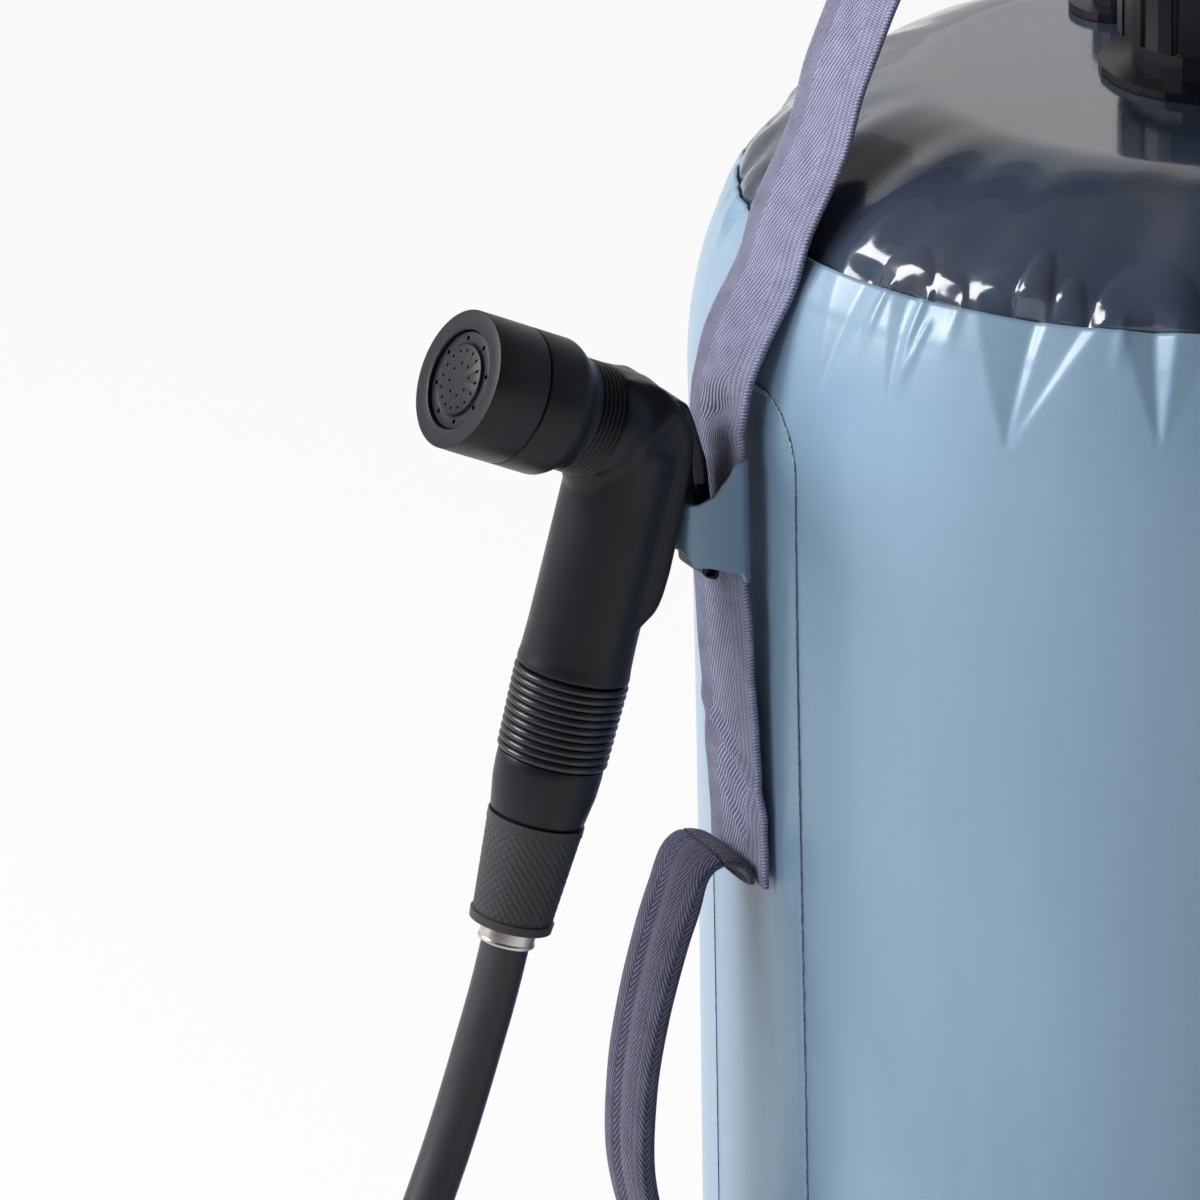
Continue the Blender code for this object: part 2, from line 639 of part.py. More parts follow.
def air_valve():
    place = (0.0, VALVE_PLACE, 0.0)
    base = CROWN_HEIGHT + GAP
    top = base + VALVE_HEIGHT
    seat = base + VALVE_HEIGHT - VALVE_SEAT_DEPTH
    turned("air_valve_body", [
        (VALVE_RADIUS, top), (VALVE_RADIUS, base + NECK_FLANGE), (VALVE_FLANGE_RADIUS, base + NECK_FLANGE),
        (VALVE_FLANGE_RADIUS, base), (VALVE_BORE - SKIN, base), (VALVE_BORE - SKIN, seat), (VALVE_BORE, seat),
        (VALVE_BORE, top),
    ], BLACK, closed=True, place=place)
    flap = seat + GAP
    disc("air_valve_flap", VALVE_BORE - RUN, flap, flap + VALVE_FLAP, RUBBER, steps=SMALL_STEPS, place=place)
    turned("air_valve_cap", [
        (0.0, top + GAP + PLUG_TOP), (VALVE_RADIUS, top + GAP + PLUG_TOP), (VALVE_RADIUS, top + GAP),
        (VALVE_BORE - RUN, top + GAP), (VALVE_BORE - RUN, top - PLUG_DEPTH), (0.0, top - PLUG_DEPTH),
    ], BLACK, place=place)


# Hose fittings, in a frame whose +Z points from the hose towards what the nut screws on

def hose_fitting(prefix, frame, face):
    """A nut, washer, tail and ferrule. face is the height of the end of the stub they clamp on."""
    washer_low = face - GAP - RUBBER_WASHER
    ring(prefix + "_washer", TAIL_BORE, TAIL_FLANGE_RADIUS, washer_low, face - GAP, RUBBER, frame=frame)
    flange_top = washer_low - GAP
    flange_low = flange_top - TAIL_FLANGE
    shelf = flange_low - GAP
    top = shelf + NUT_CUP
    bottom = top - NUT_LENGTH
    ferrule_low = bottom - FERRULE_SHOWS
    ferrule_top = ferrule_low + FERRULE_LENGTH
    ferrule_outer = HOSE_RADIUS + GAP + FERRULE_WALL
    hole = ferrule_outer + RUN
    tail_low = ferrule_low + GAP
    turned(prefix + "_tail", [
        (TAIL_FLANGE_RADIUS, flange_top), (TAIL_FLANGE_RADIUS, flange_low), (TAIL_RADIUS, flange_low),
        (TAIL_RADIUS, tail_low), (TAIL_BORE, tail_low), (TAIL_BORE, flange_top),
    ], BRASS, closed=True, frame=frame)
    turned(prefix + "_nut", [
        (NUT_TOP_RADIUS, top), (NUT_TOP_RADIUS, top - NUT_LIP_LENGTH),
        (NUT_TOP_RADIUS - NUT_LIP / 4, top - NUT_LIP_LENGTH - NUT_LIP / 4),
        (NUT_LOW_RADIUS + NUT_LIP / 2, bottom + NUT_LIP_LENGTH), (NUT_LOW_RADIUS, bottom),
        (hole, bottom), (hole, ferrule_top + GAP), (TAIL_RADIUS + RUN, ferrule_top + GAP),
        (TAIL_RADIUS + RUN, shelf), (NUT_CUP_RADIUS, shelf), (NUT_CUP_RADIUS, top),
    ], DARK_GREY, closed=True, frame=frame)
    turned(prefix + "_ferrule", [
        (ferrule_outer, ferrule_top), (ferrule_outer, ferrule_low), (TAIL_RADIUS + GAP, ferrule_low),
        (TAIL_RADIUS + GAP, ferrule_top),
    ], STEEL, closed=True, frame=frame)
    return ferrule_low


OUTLET = empty("outlet_frame", (0.0, 0.0, OUTLET_HEIGHT),
               (0.0, math.radians(90.0), OUTLET_BEARING))
NUT_FACE = -NUT_START - NUT_CUP + GAP + TAIL_FLANGE + GAP + RUBBER_WASHER + GAP


def outlet():
    """The spout through the wall. In its frame +Z is outwards from the bag's axis."""
    inside = math.sqrt(INNER_RADIUS ** 2 - OUTLET_FLANGE_RADIUS ** 2) - GAP
    tip = inside + SPOUT_LENGTH
    turned("outlet_body", [
        (SPOUT_RADIUS, tip), (SPOUT_RADIUS, inside), (OUTLET_FLANGE_RADIUS, inside),
        (OUTLET_FLANGE_RADIUS, inside - OUTLET_FLANGE), (SPOUT_BORE, inside - OUTLET_FLANGE), (SPOUT_BORE, tip),
    ], BLACK, closed=True, frame=OUTLET)
    outside = BAG_RADIUS + GAP
    ring("wall_washer", SPOUT_RADIUS + GAP, WASHER_RADIUS, outside, outside + WASHER, RUBBER, frame=OUTLET)
    nut_low = outside + WASHER + GAP
    nut = disc("lock_nut", LOCK_NUT_RADIUS, nut_low, nut_low + LOCK_NUT, BLACK, steps=6, frame=OUTLET)
    drill(nut, "lock_nut_hole", SPOUT_RADIUS + GAP, outside, nut_low + LOCK_NUT + OVERRUN, steps=PIECE_STEPS,
          frame=OUTLET)
    screen_low = inside - OUTLET_FLANGE - GAP - FILTER
    screen = disc("inlet_screen", OUTLET_FLANGE_RADIUS - GAP, screen_low, screen_low + FILTER, STEEL, frame=OUTLET)
    for i in range(FILTER_HOLES):
        turn = math.tau * i / FILTER_HOLES
        place = (SPOUT_BORE / 2 * math.cos(turn), SPOUT_BORE / 2 * math.sin(turn), 0.0)
        drill(screen, f"screen_hole_{i}", FILTER_HOLE_RADIUS, screen_low - OVERRUN, screen_low + FILTER + OVERRUN,
              steps=8, frame=OUTLET, place=place)
    fitting = empty("outlet_fitting_frame", (0.0, 0.0, tip), (math.pi, 0.0, 0.0), OUTLET)
    return fitting, hose_fitting("outlet", fitting, 0.0)


# Sprayer, in the sprayer's frame: +X forwards as it sprays, +Z up the handle

SPRAYER = empty("sprayer_frame", ELBOW, (SPRAYER_ROLL, -SPRAYER_LEAN, SPRAYER_YAW))
HEAD = empty("head_frame", (0.0, 0.0, 0.0), (0.0, math.radians(90.0) - HEAD_TILT, 0.0), SPRAYER)
VALVE = empty("valve_frame", (0.0, 0.0, -VALVE_DROP), (0.0, math.radians(90.0), 0.0), SPRAYER)
PIVOT = empty("pivot_frame", (-PIVOT_BACK, 0.0, PIVOT_UP), (0.0, 0.0, 0.0), SPRAYER)
BODY_FRONT = HEAD_REACH - CAP_LENGTH - GAP
SPIGOT_RADIUS = CAP_RADIUS - CAP_WALL - RUN
SEAT_FACE = BODY_FRONT + SPIGOT_LENGTH
PIN_END = LEVER_WIDTH / 2 + RUN + PIN_SEAT


def hump_outline(grow=0.0):
    back, top = HUMP_BACK + grow, HEAD_NECK_RADIUS
    return [
        (HANDLE_RADIUS * 0.4, top * 1.12), (-HUMP_BACK * 0.42, top * 0.80 + grow), (-back * 0.93, top * 0.05 + grow),
        (-back, -HUMP_LENGTH * 0.5), (-back, -HUMP_LENGTH), (-back * 0.60, -HUMP_LENGTH - HUMP_BACK * 0.58),
        (0.0, -HUMP_LENGTH - HUMP_BACK * 0.75), (HANDLE_RADIUS * 0.55, -HUMP_LENGTH * 0.5),
    ]


def lever_outline():
    """The lever's side view in the sprayer's frame, as (x, z)."""
    slope = math.tan(LEVER_SPLAY)
    thick = LEVER_THICKNESS / math.cos(LEVER_SPLAY)
    knee = -HUMP_BACK * 1.40
    drop = HUMP_BACK * 0.25
    tip_back = knee - (LEVER_TIP - drop) * slope
    half = LEVER_THICKNESS / 2
    return [
        (-PIVOT_BACK + half * 0.4, PIVOT_UP + LEVER_THICKNESS * 1.08),
        (-PIVOT_BACK - half * 1.2, PIVOT_UP + LEVER_THICKNESS * 0.86),
        (-PIVOT_BACK - LEVER_THICKNESS * 1.35, PIVOT_UP - half * 0.3),
        (knee + half * 1.4, PIVOT_UP - LEVER_THICKNESS * 1.15), (knee, -drop), (tip_back, -LEVER_TIP),
        (tip_back + half * 0.4, -LEVER_TIP - half * 0.6), (tip_back + thick * 0.8, -LEVER_TIP - half * 0.4),
        (tip_back + thick, -LEVER_TIP), (knee + thick, -drop),
        (-PIVOT_BACK - half * 0.3, PIVOT_UP - LEVER_THICKNESS * 1.0),
        (-PIVOT_BACK + LEVER_THICKNESS * 0.7, PIVOT_UP - LEVER_THICKNESS * 0.55),
        (-PIVOT_BACK + LEVER_THICKNESS * 0.9, PIVOT_UP + half * 0.6),
    ]


def head_profile():
    """The head's outer side, from its front spigot back past the elbow."""
    shoulder = BODY_FRONT - BULGE_LENGTH
    profile = [
        (0.0, SEAT_FACE), (SPIGOT_RADIUS, SEAT_FACE), (SPIGOT_RADIUS, BODY_FRONT), (CAP_RADIUS - RUN, BODY_FRONT),
        (CAP_RADIUS, BODY_FRONT - RUN),
    ]
    profile += bezier((CAP_RADIUS, shoulder), (CAP_RADIUS, (shoulder + HEAD_NECK_START) / 2),
                      (HEAD_NECK_RADIUS, (shoulder + HEAD_NECK_START) / 2), (HEAD_NECK_RADIUS, HEAD_NECK_START), 7)
    for i in range(HEAD_RIBS):
        top = HEAD_NECK_START - HEAD_RIB_PITCH * (i + 0.5)
        profile += [(HEAD_NECK_RADIUS, top), (HEAD_NECK_RADIUS - HEAD_RIB_DEPTH, top - HEAD_RIB_PITCH / 2)]
    return profile + [(HEAD_NECK_RADIUS, 0.0), (0.0, 0.0)]


def sprayer_body():
    grip_seat = GRIP_TOP_RADIUS - GRIP_RIB_DEPTH - GRIP_WALL - GAP
    stub_top = NUT_START + GAP
    body = turned("sprayer_body", [
        (0.0, HEAD_NECK_RADIUS * 0.35), (HANDLE_RADIUS * 0.6, HEAD_NECK_RADIUS * 0.3),
        (HANDLE_RADIUS, -HEAD_NECK_RADIUS * 0.4),
        (HANDLE_RADIUS, -HUMP_LENGTH), (GRIP_TOP_RADIUS, -GRIP_START + GAP), (grip_seat, -GRIP_START + GAP),
        (grip_seat, -GRIP_START - GRIP_LENGTH - GAP), (TAPER_TOP_RADIUS, -GRIP_START - GRIP_LENGTH - GAP),
        (TAPER_TOP_RADIUS, -GRIP_START - GRIP_LENGTH - LEVER_THICKNESS), (TAPER_LOW_RADIUS, -stub_top + RUN + NUT_LIP),
        (TAPER_LOW_RADIUS - NUT_LIP / 2, -stub_top + RUN), (STUB_RADIUS, -stub_top + RUN),
        (STUB_RADIUS, NUT_FACE), (0.0, NUT_FACE),
    ], BLACK, steps=PIECE_STEPS, frame=SPRAYER)
    combine(body, turned("head_form", head_profile(), steps=PIECE_STEPS, frame=HEAD), "UNION")
    hump = slab("hump_form", [hump_outline()], HUMP_HALF_WIDTH, frame=SPRAYER)
    soften(hump, HUMP_BEVEL)
    combine(body, hump, "UNION")
    # The slot that the lever swings in, open at the hump's back
    slot_front = -PIVOT_BACK + LEVER_THICKNESS * 0.9 + 2 * RUN
    slot = [
        (slot_front, PIVOT_UP + LEVER_THICKNESS * 2.4), (slot_front, PIVOT_UP - LEVER_THICKNESS * 0.7),
        (-PIVOT_BACK - LEVER_THICKNESS * 0.35, PIVOT_UP - LEVER_THICKNESS * 1.6),
        (-PIVOT_BACK - LEVER_THICKNESS * 0.95, -VALVE_DROP * 0.45), (-HUMP_BACK - OVERRUN, -VALVE_DROP * 0.7),
        (-HUMP_BACK - OVERRUN, PIVOT_UP + LEVER_THICKNESS * 2.4),
    ]
    combine(body, slab("lever_slot", [slot], LEVER_WIDTH / 2 + RUN, frame=SPRAYER))
    # Pin hole, spring pocket, stem gland, valve chamber and waterways
    drill(body, "pin_hole", PIN_RADIUS + GAP, -PIN_END, HUMP_HALF_WIDTH + OVERRUN, frame=PIVOT,
          turn=(math.radians(90.0), 0.0, 0.0))
    drill(body, "spring_pocket", SPRING_RADIUS + SPRING_WIRE + RUN, -HUMP_BACK - OVERRUN, -POCKET_FLOOR, frame=VALVE)
    drill(body, "stem_bore", STEM_RADIUS + RUN, -HUMP_BACK, CHAMBER_FRONT / 2, frame=VALVE, steps=12)
    gland_front = -(POCKET_FLOOR + CHAMBER_BACK) / 2 + SEAL_THICKNESS / 2 + GAP
    drill(body, "seal_groove", STEM_RADIUS + RUN + SEAL_THICKNESS + GAP, gland_front - SEAL_THICKNESS - 2 * GAP,
          gland_front, frame=VALVE)
    drill(body, "valve_chamber", CHAMBER_RADIUS, -CHAMBER_BACK, CHAMBER_FRONT, frame=VALVE)
    drill(body, "inlet_way", SEAT_BORE - GAP, -VALVE_DROP - HANDLE_BORE * 2, -VALVE_DROP, frame=SPRAYER,
          place=((SEAT_FRONT + CHAMBER_FRONT) / 2, 0.0, 0.0), steps=12)
    drill(body, "handle_way", HANDLE_BORE, NUT_FACE - OVERRUN, -VALVE_DROP - CHAMBER_RADIUS - RUN * 4, frame=SPRAYER)
    drill(body, "outlet_way", STEM_RADIUS, -VALVE_DROP, 0.0, frame=SPRAYER, steps=12)
    drill(body, "elbow_way", HEAD_BORE / 2, -STEM_RADIUS, SEAT_FACE / 2, frame=HEAD)
    drill(body, "head_way", HEAD_BORE, HEAD_BORE * 2, SEAT_FACE + OVERRUN, frame=HEAD)
    return grip_seat


def grip_sleeve(bore):
    """A ribbed rubber sleeve."""
    profile = []
    pitch = GRIP_LENGTH / GRIP_RIBS
    for i in range(GRIP_RIBS):
        share = (i + 0.5) / GRIP_RIBS
        radius = GRIP_TOP_RADIUS + (GRIP_LOW_RADIUS - GRIP_TOP_RADIUS) * share
        top = -GRIP_START - pitch * i
        profile += [(radius - GRIP_RIB_DEPTH, top), (radius, top - pitch * 0.5)]
    profile.append((GRIP_LOW_RADIUS - GRIP_RIB_DEPTH, -GRIP_START - GRIP_LENGTH))
    profile += [(bore + GAP, -GRIP_START - GRIP_LENGTH), (bore + GAP, -GRIP_START)]
    turned("grip_sleeve", profile, BLACK, closed=True, frame=SPRAYER)


def spray_head():
    """Turning cap, jet plate, gasket and flow disc, stacked on the head's spigot."""
    lip = HEAD_REACH - CAP_LIP
    cap_low = HEAD_REACH - CAP_LENGTH
    turned("spray_cap", [
        (CAP_RADIUS - RUN * 2, HEAD_REACH), (CAP_RADIUS, HEAD_REACH - RUN * 2), (CAP_RADIUS, cap_low),
        (SPIGOT_RADIUS + RUN, cap_low), (SPIGOT_RADIUS + RUN, lip), (CAP_MOUTH, lip), (CAP_MOUTH, HEAD_REACH),
    ], BLACK, steps=PIECE_STEPS, closed=True, frame=HEAD)
    plate_top = lip - GAP
    plate_low = plate_top - PLATE_THICKNESS
    boss = CAP_MOUTH - GAP
    sunk = HEAD_REACH - PLATE_SINK
    rise = sunk + PLATE_DISC_RISE
    plate = turned("jet_plate", [
        (0.0, rise), (PLATE_DISC_RADIUS, rise), (PLATE_DISC_RADIUS, sunk), (boss, sunk), (boss, plate_top),
        (SPIGOT_RADIUS, plate_top), (SPIGOT_RADIUS, plate_low), (0.0, plate_low),
    ], BLACK, steps=PIECE_STEPS, frame=HEAD)
    for count, radius, of_mouth in ((WIDE_JETS, WIDE_JET_RADIUS, WIDE_JET_SHARE),
                                    (FINE_JETS, FINE_JET_RADIUS, FINE_JET_SHARE),
                                    (MID_JETS, FINE_JET_RADIUS, MID_JET_SHARE)):
        circle = CAP_MOUTH * of_mouth
        for i in range(count):
            turn = math.tau * (i + 0.5) / count
            drill(plate, f"jet_{circle:.4f}_{i}", radius, plate_low - OVERRUN, rise + OVERRUN, steps=6,
                  frame=HEAD, place=jet_place(circle, turn))
    gasket_top = plate_low - GAP
    gasket_low = SEAT_FACE + FLOW_DISC + 2 * GAP
    ring("plate_gasket", SPIGOT_RADIUS - PLATE_GASKET_WIDTH, SPIGOT_RADIUS, gasket_low, gasket_top, RUBBER,
         frame=HEAD)
    flow = disc("flow_disc", SPIGOT_RADIUS, SEAT_FACE + GAP, SEAT_FACE + GAP + FLOW_DISC, BLACK, frame=HEAD)
    for i in range(FLOW_HOLES):
        drill(flow, f"flow_hole_{i}", FLOW_HOLE_RADIUS, SEAT_FACE - OVERRUN, SEAT_FACE + OVERRUN * 2, steps=10,
              frame=HEAD, place=jet_place(FLOW_HOLE_CIRCLE, math.tau * i / FLOW_HOLES))


def jet_place(circle, turn):
    return (circle * math.cos(turn), circle * math.sin(turn), 0.0)


def trigger():
    outline = [(x + PIVOT_BACK, z - PIVOT_UP) for x, z in lever_outline()]
    lever = slab("trigger_lever", [outline], LEVER_WIDTH / 2, BLACK, frame=PIVOT)
    pin_reach = HUMP_HALF_WIDTH + OVERRUN
    across = (math.radians(90.0), 0.0, 0.0)
    drill(lever, "lever_eye", PIN_RADIUS + GAP, -pin_reach, pin_reach, steps=12, frame=PIVOT, turn=across)
    disc("trigger_pin", PIN_RADIUS, GAP - PIN_END, HUMP_HALF_WIDTH - GAP, STEEL, steps=12, frame=PIVOT, turn=across)


def valve():
    """Plunger valve that the lever opens. In its frame +Z is forwards and the lever is at -Z."""
    slope = math.tan(LEVER_SPLAY)
    lever_face = HUMP_BACK * 1.40 + (VALVE_DROP - HUMP_BACK * 0.25) * slope - LEVER_THICKNESS / math.cos(LEVER_SPLAY)
    stem_end = -lever_face + GAP + STEM_RADIUS * slope
    head_low = SEAT_FRONT + GAP + DISC_THICKNESS + GAP
    turned("valve_stem", [
        (0.0, head_low + GAP * 3), (DISC_RADIUS - RUN, head_low + GAP * 3), (DISC_RADIUS - RUN, head_low),
        (STEM_RADIUS, head_low), (STEM_RADIUS, stem_end), (0.0, stem_end),
    ], STEEL, steps=12, frame=VALVE)
    ring("valve_disc", STEM_RADIUS + GAP, DISC_RADIUS, SEAT_FRONT + GAP, head_low - GAP, RUBBER,
         steps=SMALL_STEPS, frame=VALVE)
    ring("valve_seat", SEAT_BORE, CHAMBER_RADIUS - GAP, SEAT_FRONT - SEAT_LENGTH, SEAT_FRONT, BRASS,
         steps=SMALL_STEPS, frame=VALVE)
    middle = -(POCKET_FLOOR + CHAMBER_BACK) / 2
    ring("stem_seal", STEM_RADIUS + GAP, STEM_RADIUS + RUN + SEAL_THICKNESS, middle - SEAL_THICKNESS / 2,
         middle + SEAL_THICKNESS / 2, RUBBER, steps=SMALL_STEPS, frame=VALVE)
    top = -POCKET_FLOOR - GAP - SPRING_WIRE
    low = -lever_face + GAP + SPRING_WIRE + (SPRING_RADIUS + SPRING_WIRE) * slope
    count = SPRING_TURNS * SPRING_TURN_POINTS
    coil = []
    for i in range(count + 1):
        turn = math.tau * i / SPRING_TURN_POINTS
        coil.append((SPRING_RADIUS * math.cos(turn), SPRING_RADIUS * math.sin(turn), low + (top - low) * i / count))
    tube("return_spring", coil, SPRING_WIRE, STEEL, resolution=1, frame=VALVE)
    print("return spring's least gap to itself, mm:", round(1000 * ((top - low) / SPRING_TURNS - 2 * SPRING_WIRE), 2))


# Hose

def coil_points():
    """Piled turns: inwards on the ground, up a layer in the half turn where they reverse, outwards above."""
    count = round(COIL_TURNS * COIL_POINTS)
    found = []
    for i in range(count + 1):
        walked = i / COIL_POINTS
        middle = COIL_TURNS / 2
        inwards = min(walked, COIL_TURNS - walked)
        radius = COIL_OUTER - COIL_PITCH * inwards
        climb = min(1.0, max(0.0, (walked - middle + 0.25) / 0.5))
        turn = math.radians(-90.0) - math.tau * walked
        height = HOSE_RADIUS + FLOOR_GAP + COIL_LAYER * climb * climb * (3.0 - 2.0 * climb)
        found.append(COIL_CENTRE + Vector((radius * math.cos(turn), radius * math.sin(turn), height)))
    return found


def report_gap(points):
    least = min(
        (p - q).length
        for i, p in enumerate(points)
        for j, q in enumerate(points)
        if j - i > COIL_POINTS // 3
    )
    print("hose coil's least gap to itself, mm:", round(1000 * (least - 2 * HOSE_RADIUS), 2))


def free_stretch(name, start, way, end, end_way, shares):
    """A stretch of hose that is straight at both ends, between them through its chosen points."""
    lead = 2.2 * HOSE_RADIUS
    a, b = start + way * lead, end + end_way * lead
    chosen = [Vector([p + (q - p) * part_way for p, q, part_way in zip(a, b, triple)]) for triple in shares]
    tube(name, smooth_line([start, a, *chosen, b, end], 5 * HOSE_RADIUS), HOSE_RADIUS, HOSE)


def hose(sprayer_end, sprayer_down, outlet_end, outlet_out):
    coil = coil_points()
    report_gap(coil)
    tube("hose_coil", coil, HOSE_RADIUS, HOSE, resolution=1)
    first = (coil[0] - coil[1]).normalized()
    last = (coil[-1] - coil[-2]).normalized()
    free_stretch("hose_upper", sprayer_end + sprayer_down * GAP, sprayer_down, coil[-1] + last * GAP, last,
                 HOSE_UPPER_SHARES)
    free_stretch("hose_lower", outlet_end + outlet_out * GAP, outlet_out, coil[0] + first * GAP, first,
                 HOSE_LOWER_SHARES)


bag_wall()
top_panel()
bottom_panel()
side_patch("side_patch_left", -1.0)
side_patch("side_patch_right", 1.0)
carry_strap()
side_handle("side_handle_left", -1.0)
side_handle("side_handle_right", 1.0)
nozzle_loop()
fill_port()
air_valve()
OUTLET_FITTING, outlet_low = outlet()
grip_sleeve(sprayer_body())
spray_head()
trigger()
valve()
sprayer_low = hose_fitting("sprayer", SPRAYER, NUT_FACE)
bpy.context.view_layer.update()


def placed(frame, height):
    """A point on a frame's Z axis and the direction of its -Z, in the world."""
    matrix = frame.matrix_world
    return matrix @ Vector((0.0, 0.0, height)), -(matrix.to_3x3() @ Vector((0.0, 0.0, 1.0))).normalized()


hose(*placed(SPRAYER, sprayer_low), *placed(OUTLET_FITTING, outlet_low))
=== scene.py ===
import json
import math
import random

import bmesh
import bpy
from bpy.props import FloatProperty, FloatVectorProperty, IntProperty, PointerProperty
from mathutils import Matrix, Vector


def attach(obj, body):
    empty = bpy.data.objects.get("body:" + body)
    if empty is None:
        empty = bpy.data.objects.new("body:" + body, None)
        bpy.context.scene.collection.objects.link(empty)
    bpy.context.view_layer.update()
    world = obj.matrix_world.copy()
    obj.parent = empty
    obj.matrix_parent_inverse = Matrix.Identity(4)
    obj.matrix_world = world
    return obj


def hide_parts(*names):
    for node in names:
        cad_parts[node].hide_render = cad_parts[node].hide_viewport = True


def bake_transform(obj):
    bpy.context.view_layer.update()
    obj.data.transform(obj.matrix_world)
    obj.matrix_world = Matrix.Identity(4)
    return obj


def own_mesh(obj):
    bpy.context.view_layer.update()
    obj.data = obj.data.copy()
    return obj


bl_info = {
    "name": "Camp shower bag",
    "version": (1, 0, 0),
    "blender": (4, 5, 0),
    "location": "3D View > Sidebar > Shower bag",
    "description": "Dresses the packed shower bag: coated fabric, webbing, trigger sprayer and hose",
    "category": "Object",
}

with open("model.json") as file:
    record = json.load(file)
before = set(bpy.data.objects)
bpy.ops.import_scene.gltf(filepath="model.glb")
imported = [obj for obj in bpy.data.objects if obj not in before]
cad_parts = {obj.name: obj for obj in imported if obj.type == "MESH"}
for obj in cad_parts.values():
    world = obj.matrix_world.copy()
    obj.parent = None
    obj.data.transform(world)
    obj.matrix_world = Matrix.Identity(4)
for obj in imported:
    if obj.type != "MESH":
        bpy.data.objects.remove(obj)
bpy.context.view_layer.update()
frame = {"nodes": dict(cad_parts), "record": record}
GAP = 0.0003              # between two pieces that seat on each other
RUN = 0.0004              # between a moving piece and what guides it

# Where the fittings stand, as the solids have them, in metres and degrees
ELBOW = (-0.1657, -0.0036, 0.3348)
SPRAYER_YAW = 184.09
SPRAYER_LEAN = -15.70
SPRAYER_ROLL = -1.95
HEAD_TILT = 10.16
OUTLET_BEARING = 250.0
OUTLET_HEIGHT = 0.0575
OUTLET_FLANGE_RADIUS = 0.018
OUTLET_HOLE = 0.0112
SPOUT_LENGTH = 0.030
WALL_INSIDE = 0.134
AIR_VALVE_OUT = 0.055
AIR_VALVE_HOLE = 0.0085
VALVE_DROP = 0.0085       # elbow to the valve's axis

# Both hose fittings
RUBBER_WASHER = 0.0018
TAIL_FLANGE = 0.0020
NUT_CUP = 0.0090          # depth of a nut's threaded cup
FERRULE_SHOWS = 0.0048    # length of ferrule below its nut
FERRULE_LENGTH = 0.0080
FERRULE_WALL = 0.0006


# Sizes and colours that a user would change

def size(name, default, text):
    return FloatProperty(name=name, default=default, description=text, unit="LENGTH", precision=5)


def count(name, default, text):
    return IntProperty(name=name, default=default, min=1, description=text)


def share(name, default, text):
    return FloatProperty(name=name, default=default, description=text)


def tint(name, rgb, text):
    """A colour, given as it looks on a screen, from 0 to 255."""
    linear = [(c / 255 / 12.92) if c <= 10 else ((c / 255 + 0.055) / 1.055) ** 2.4 for c in rgb]
    return FloatVectorProperty(name=name, default=linear, subtype="COLOR", min=0, max=1, description=text)


class BagSizes(bpy.types.PropertyGroup):
    radius: size("Radius", 0.135, "Outside of the wall")
    skin: size("Skin", 0.0010, "Thickness of the coated fabric")
    lap: size("Lap", 0.010, "Width of the welded laps")
    shoulder_start: size("Shoulder start", 0.325, "Height where the wall starts to curve inwards")
    shoulder_radius: size("Shoulder radius", 0.101, "Radius of the shoulder's curve")
    seam_radius: size("Seam radius", 0.1225, "Outside of the wall at its upper edge")
    crown_height: size("Crown height", 0.400, "Height of the flat crown")
    crown_flat: size("Crown flat", 0.075, "Radius of the crown's flat middle")
    base_flat: size("Base flat", 0.110, "Radius of the base's flat middle")
    base_lap: size("Base lap", 0.026, "Height of the wall's lower edge")
    patch_half: size("Patch half width", 0.0254, "Half the width of a side patch")
    patch_corner: size("Patch corner", 0.018, "Radius of a side patch's corners")
    patch_top: size("Patch top", 0.342, "Upper edge of a side patch")
    patch_bottom: size("Patch bottom", 0.048, "Lower edge of a side patch")
    patch_skin: size("Patch skin", 0.0008, "Thickness of a side patch")
    puckers: count("Puckers", 44, "Small gathers round the top seam")
    pucker_depth: size("Pucker depth", 0.0011, "How deep the gathers are")


class WebbingSizes(bpy.types.PropertyGroup):
    width: size("Strap width", 0.030, "Width of the carry strap")
    thickness: size("Strap thickness", 0.0016, "Thickness of the carry strap")
    stand_off: size("Stand off", 0.0066, "Middle of the strap beyond the wall, beside the loop")
    anchor: size("Anchor", 0.2154, "Height of the strap's sewn lower end")
    tack: size("Tack", 0.016, "Height of its sewn stretch")
    apex: size("Apex", 0.500, "Height of the strap's top")
    handle_width: size("Handle width", 0.024, "Width of the folded handle")
    handle_thickness: size("Handle thickness", 0.006, "Thickness of the folded handle")
    handle_end: size("Handle end", 0.0030, "Thickness of its sewn ends")
    handle_foot: size("Handle foot", 0.078, "Height of the handle's lower end")
    handle_tack: size("Handle tack", 0.022, "Height of its sewn stretch")
    handle_reach: size("Handle reach", 0.0285, "How far the handle stands out")
    loop_skin: size("Loop skin", 0.0010, "Thickness of the nozzle loop")
    loop_reach: size("Loop reach", 0.0174, "Depth of the nozzle loop")
    loop_top: size("Loop top", 0.3280, "Upper edge of the loop at its back")
    loop_height: size("Loop height", 0.0310, "Height of the loop at its back")
    loop_square: share("Loop squareness", 0.34, "1 is a round loop, less is squarer")
    loop_corner: size("Loop corner", 0.0030, "Radius of the loop's bends behind the strap")


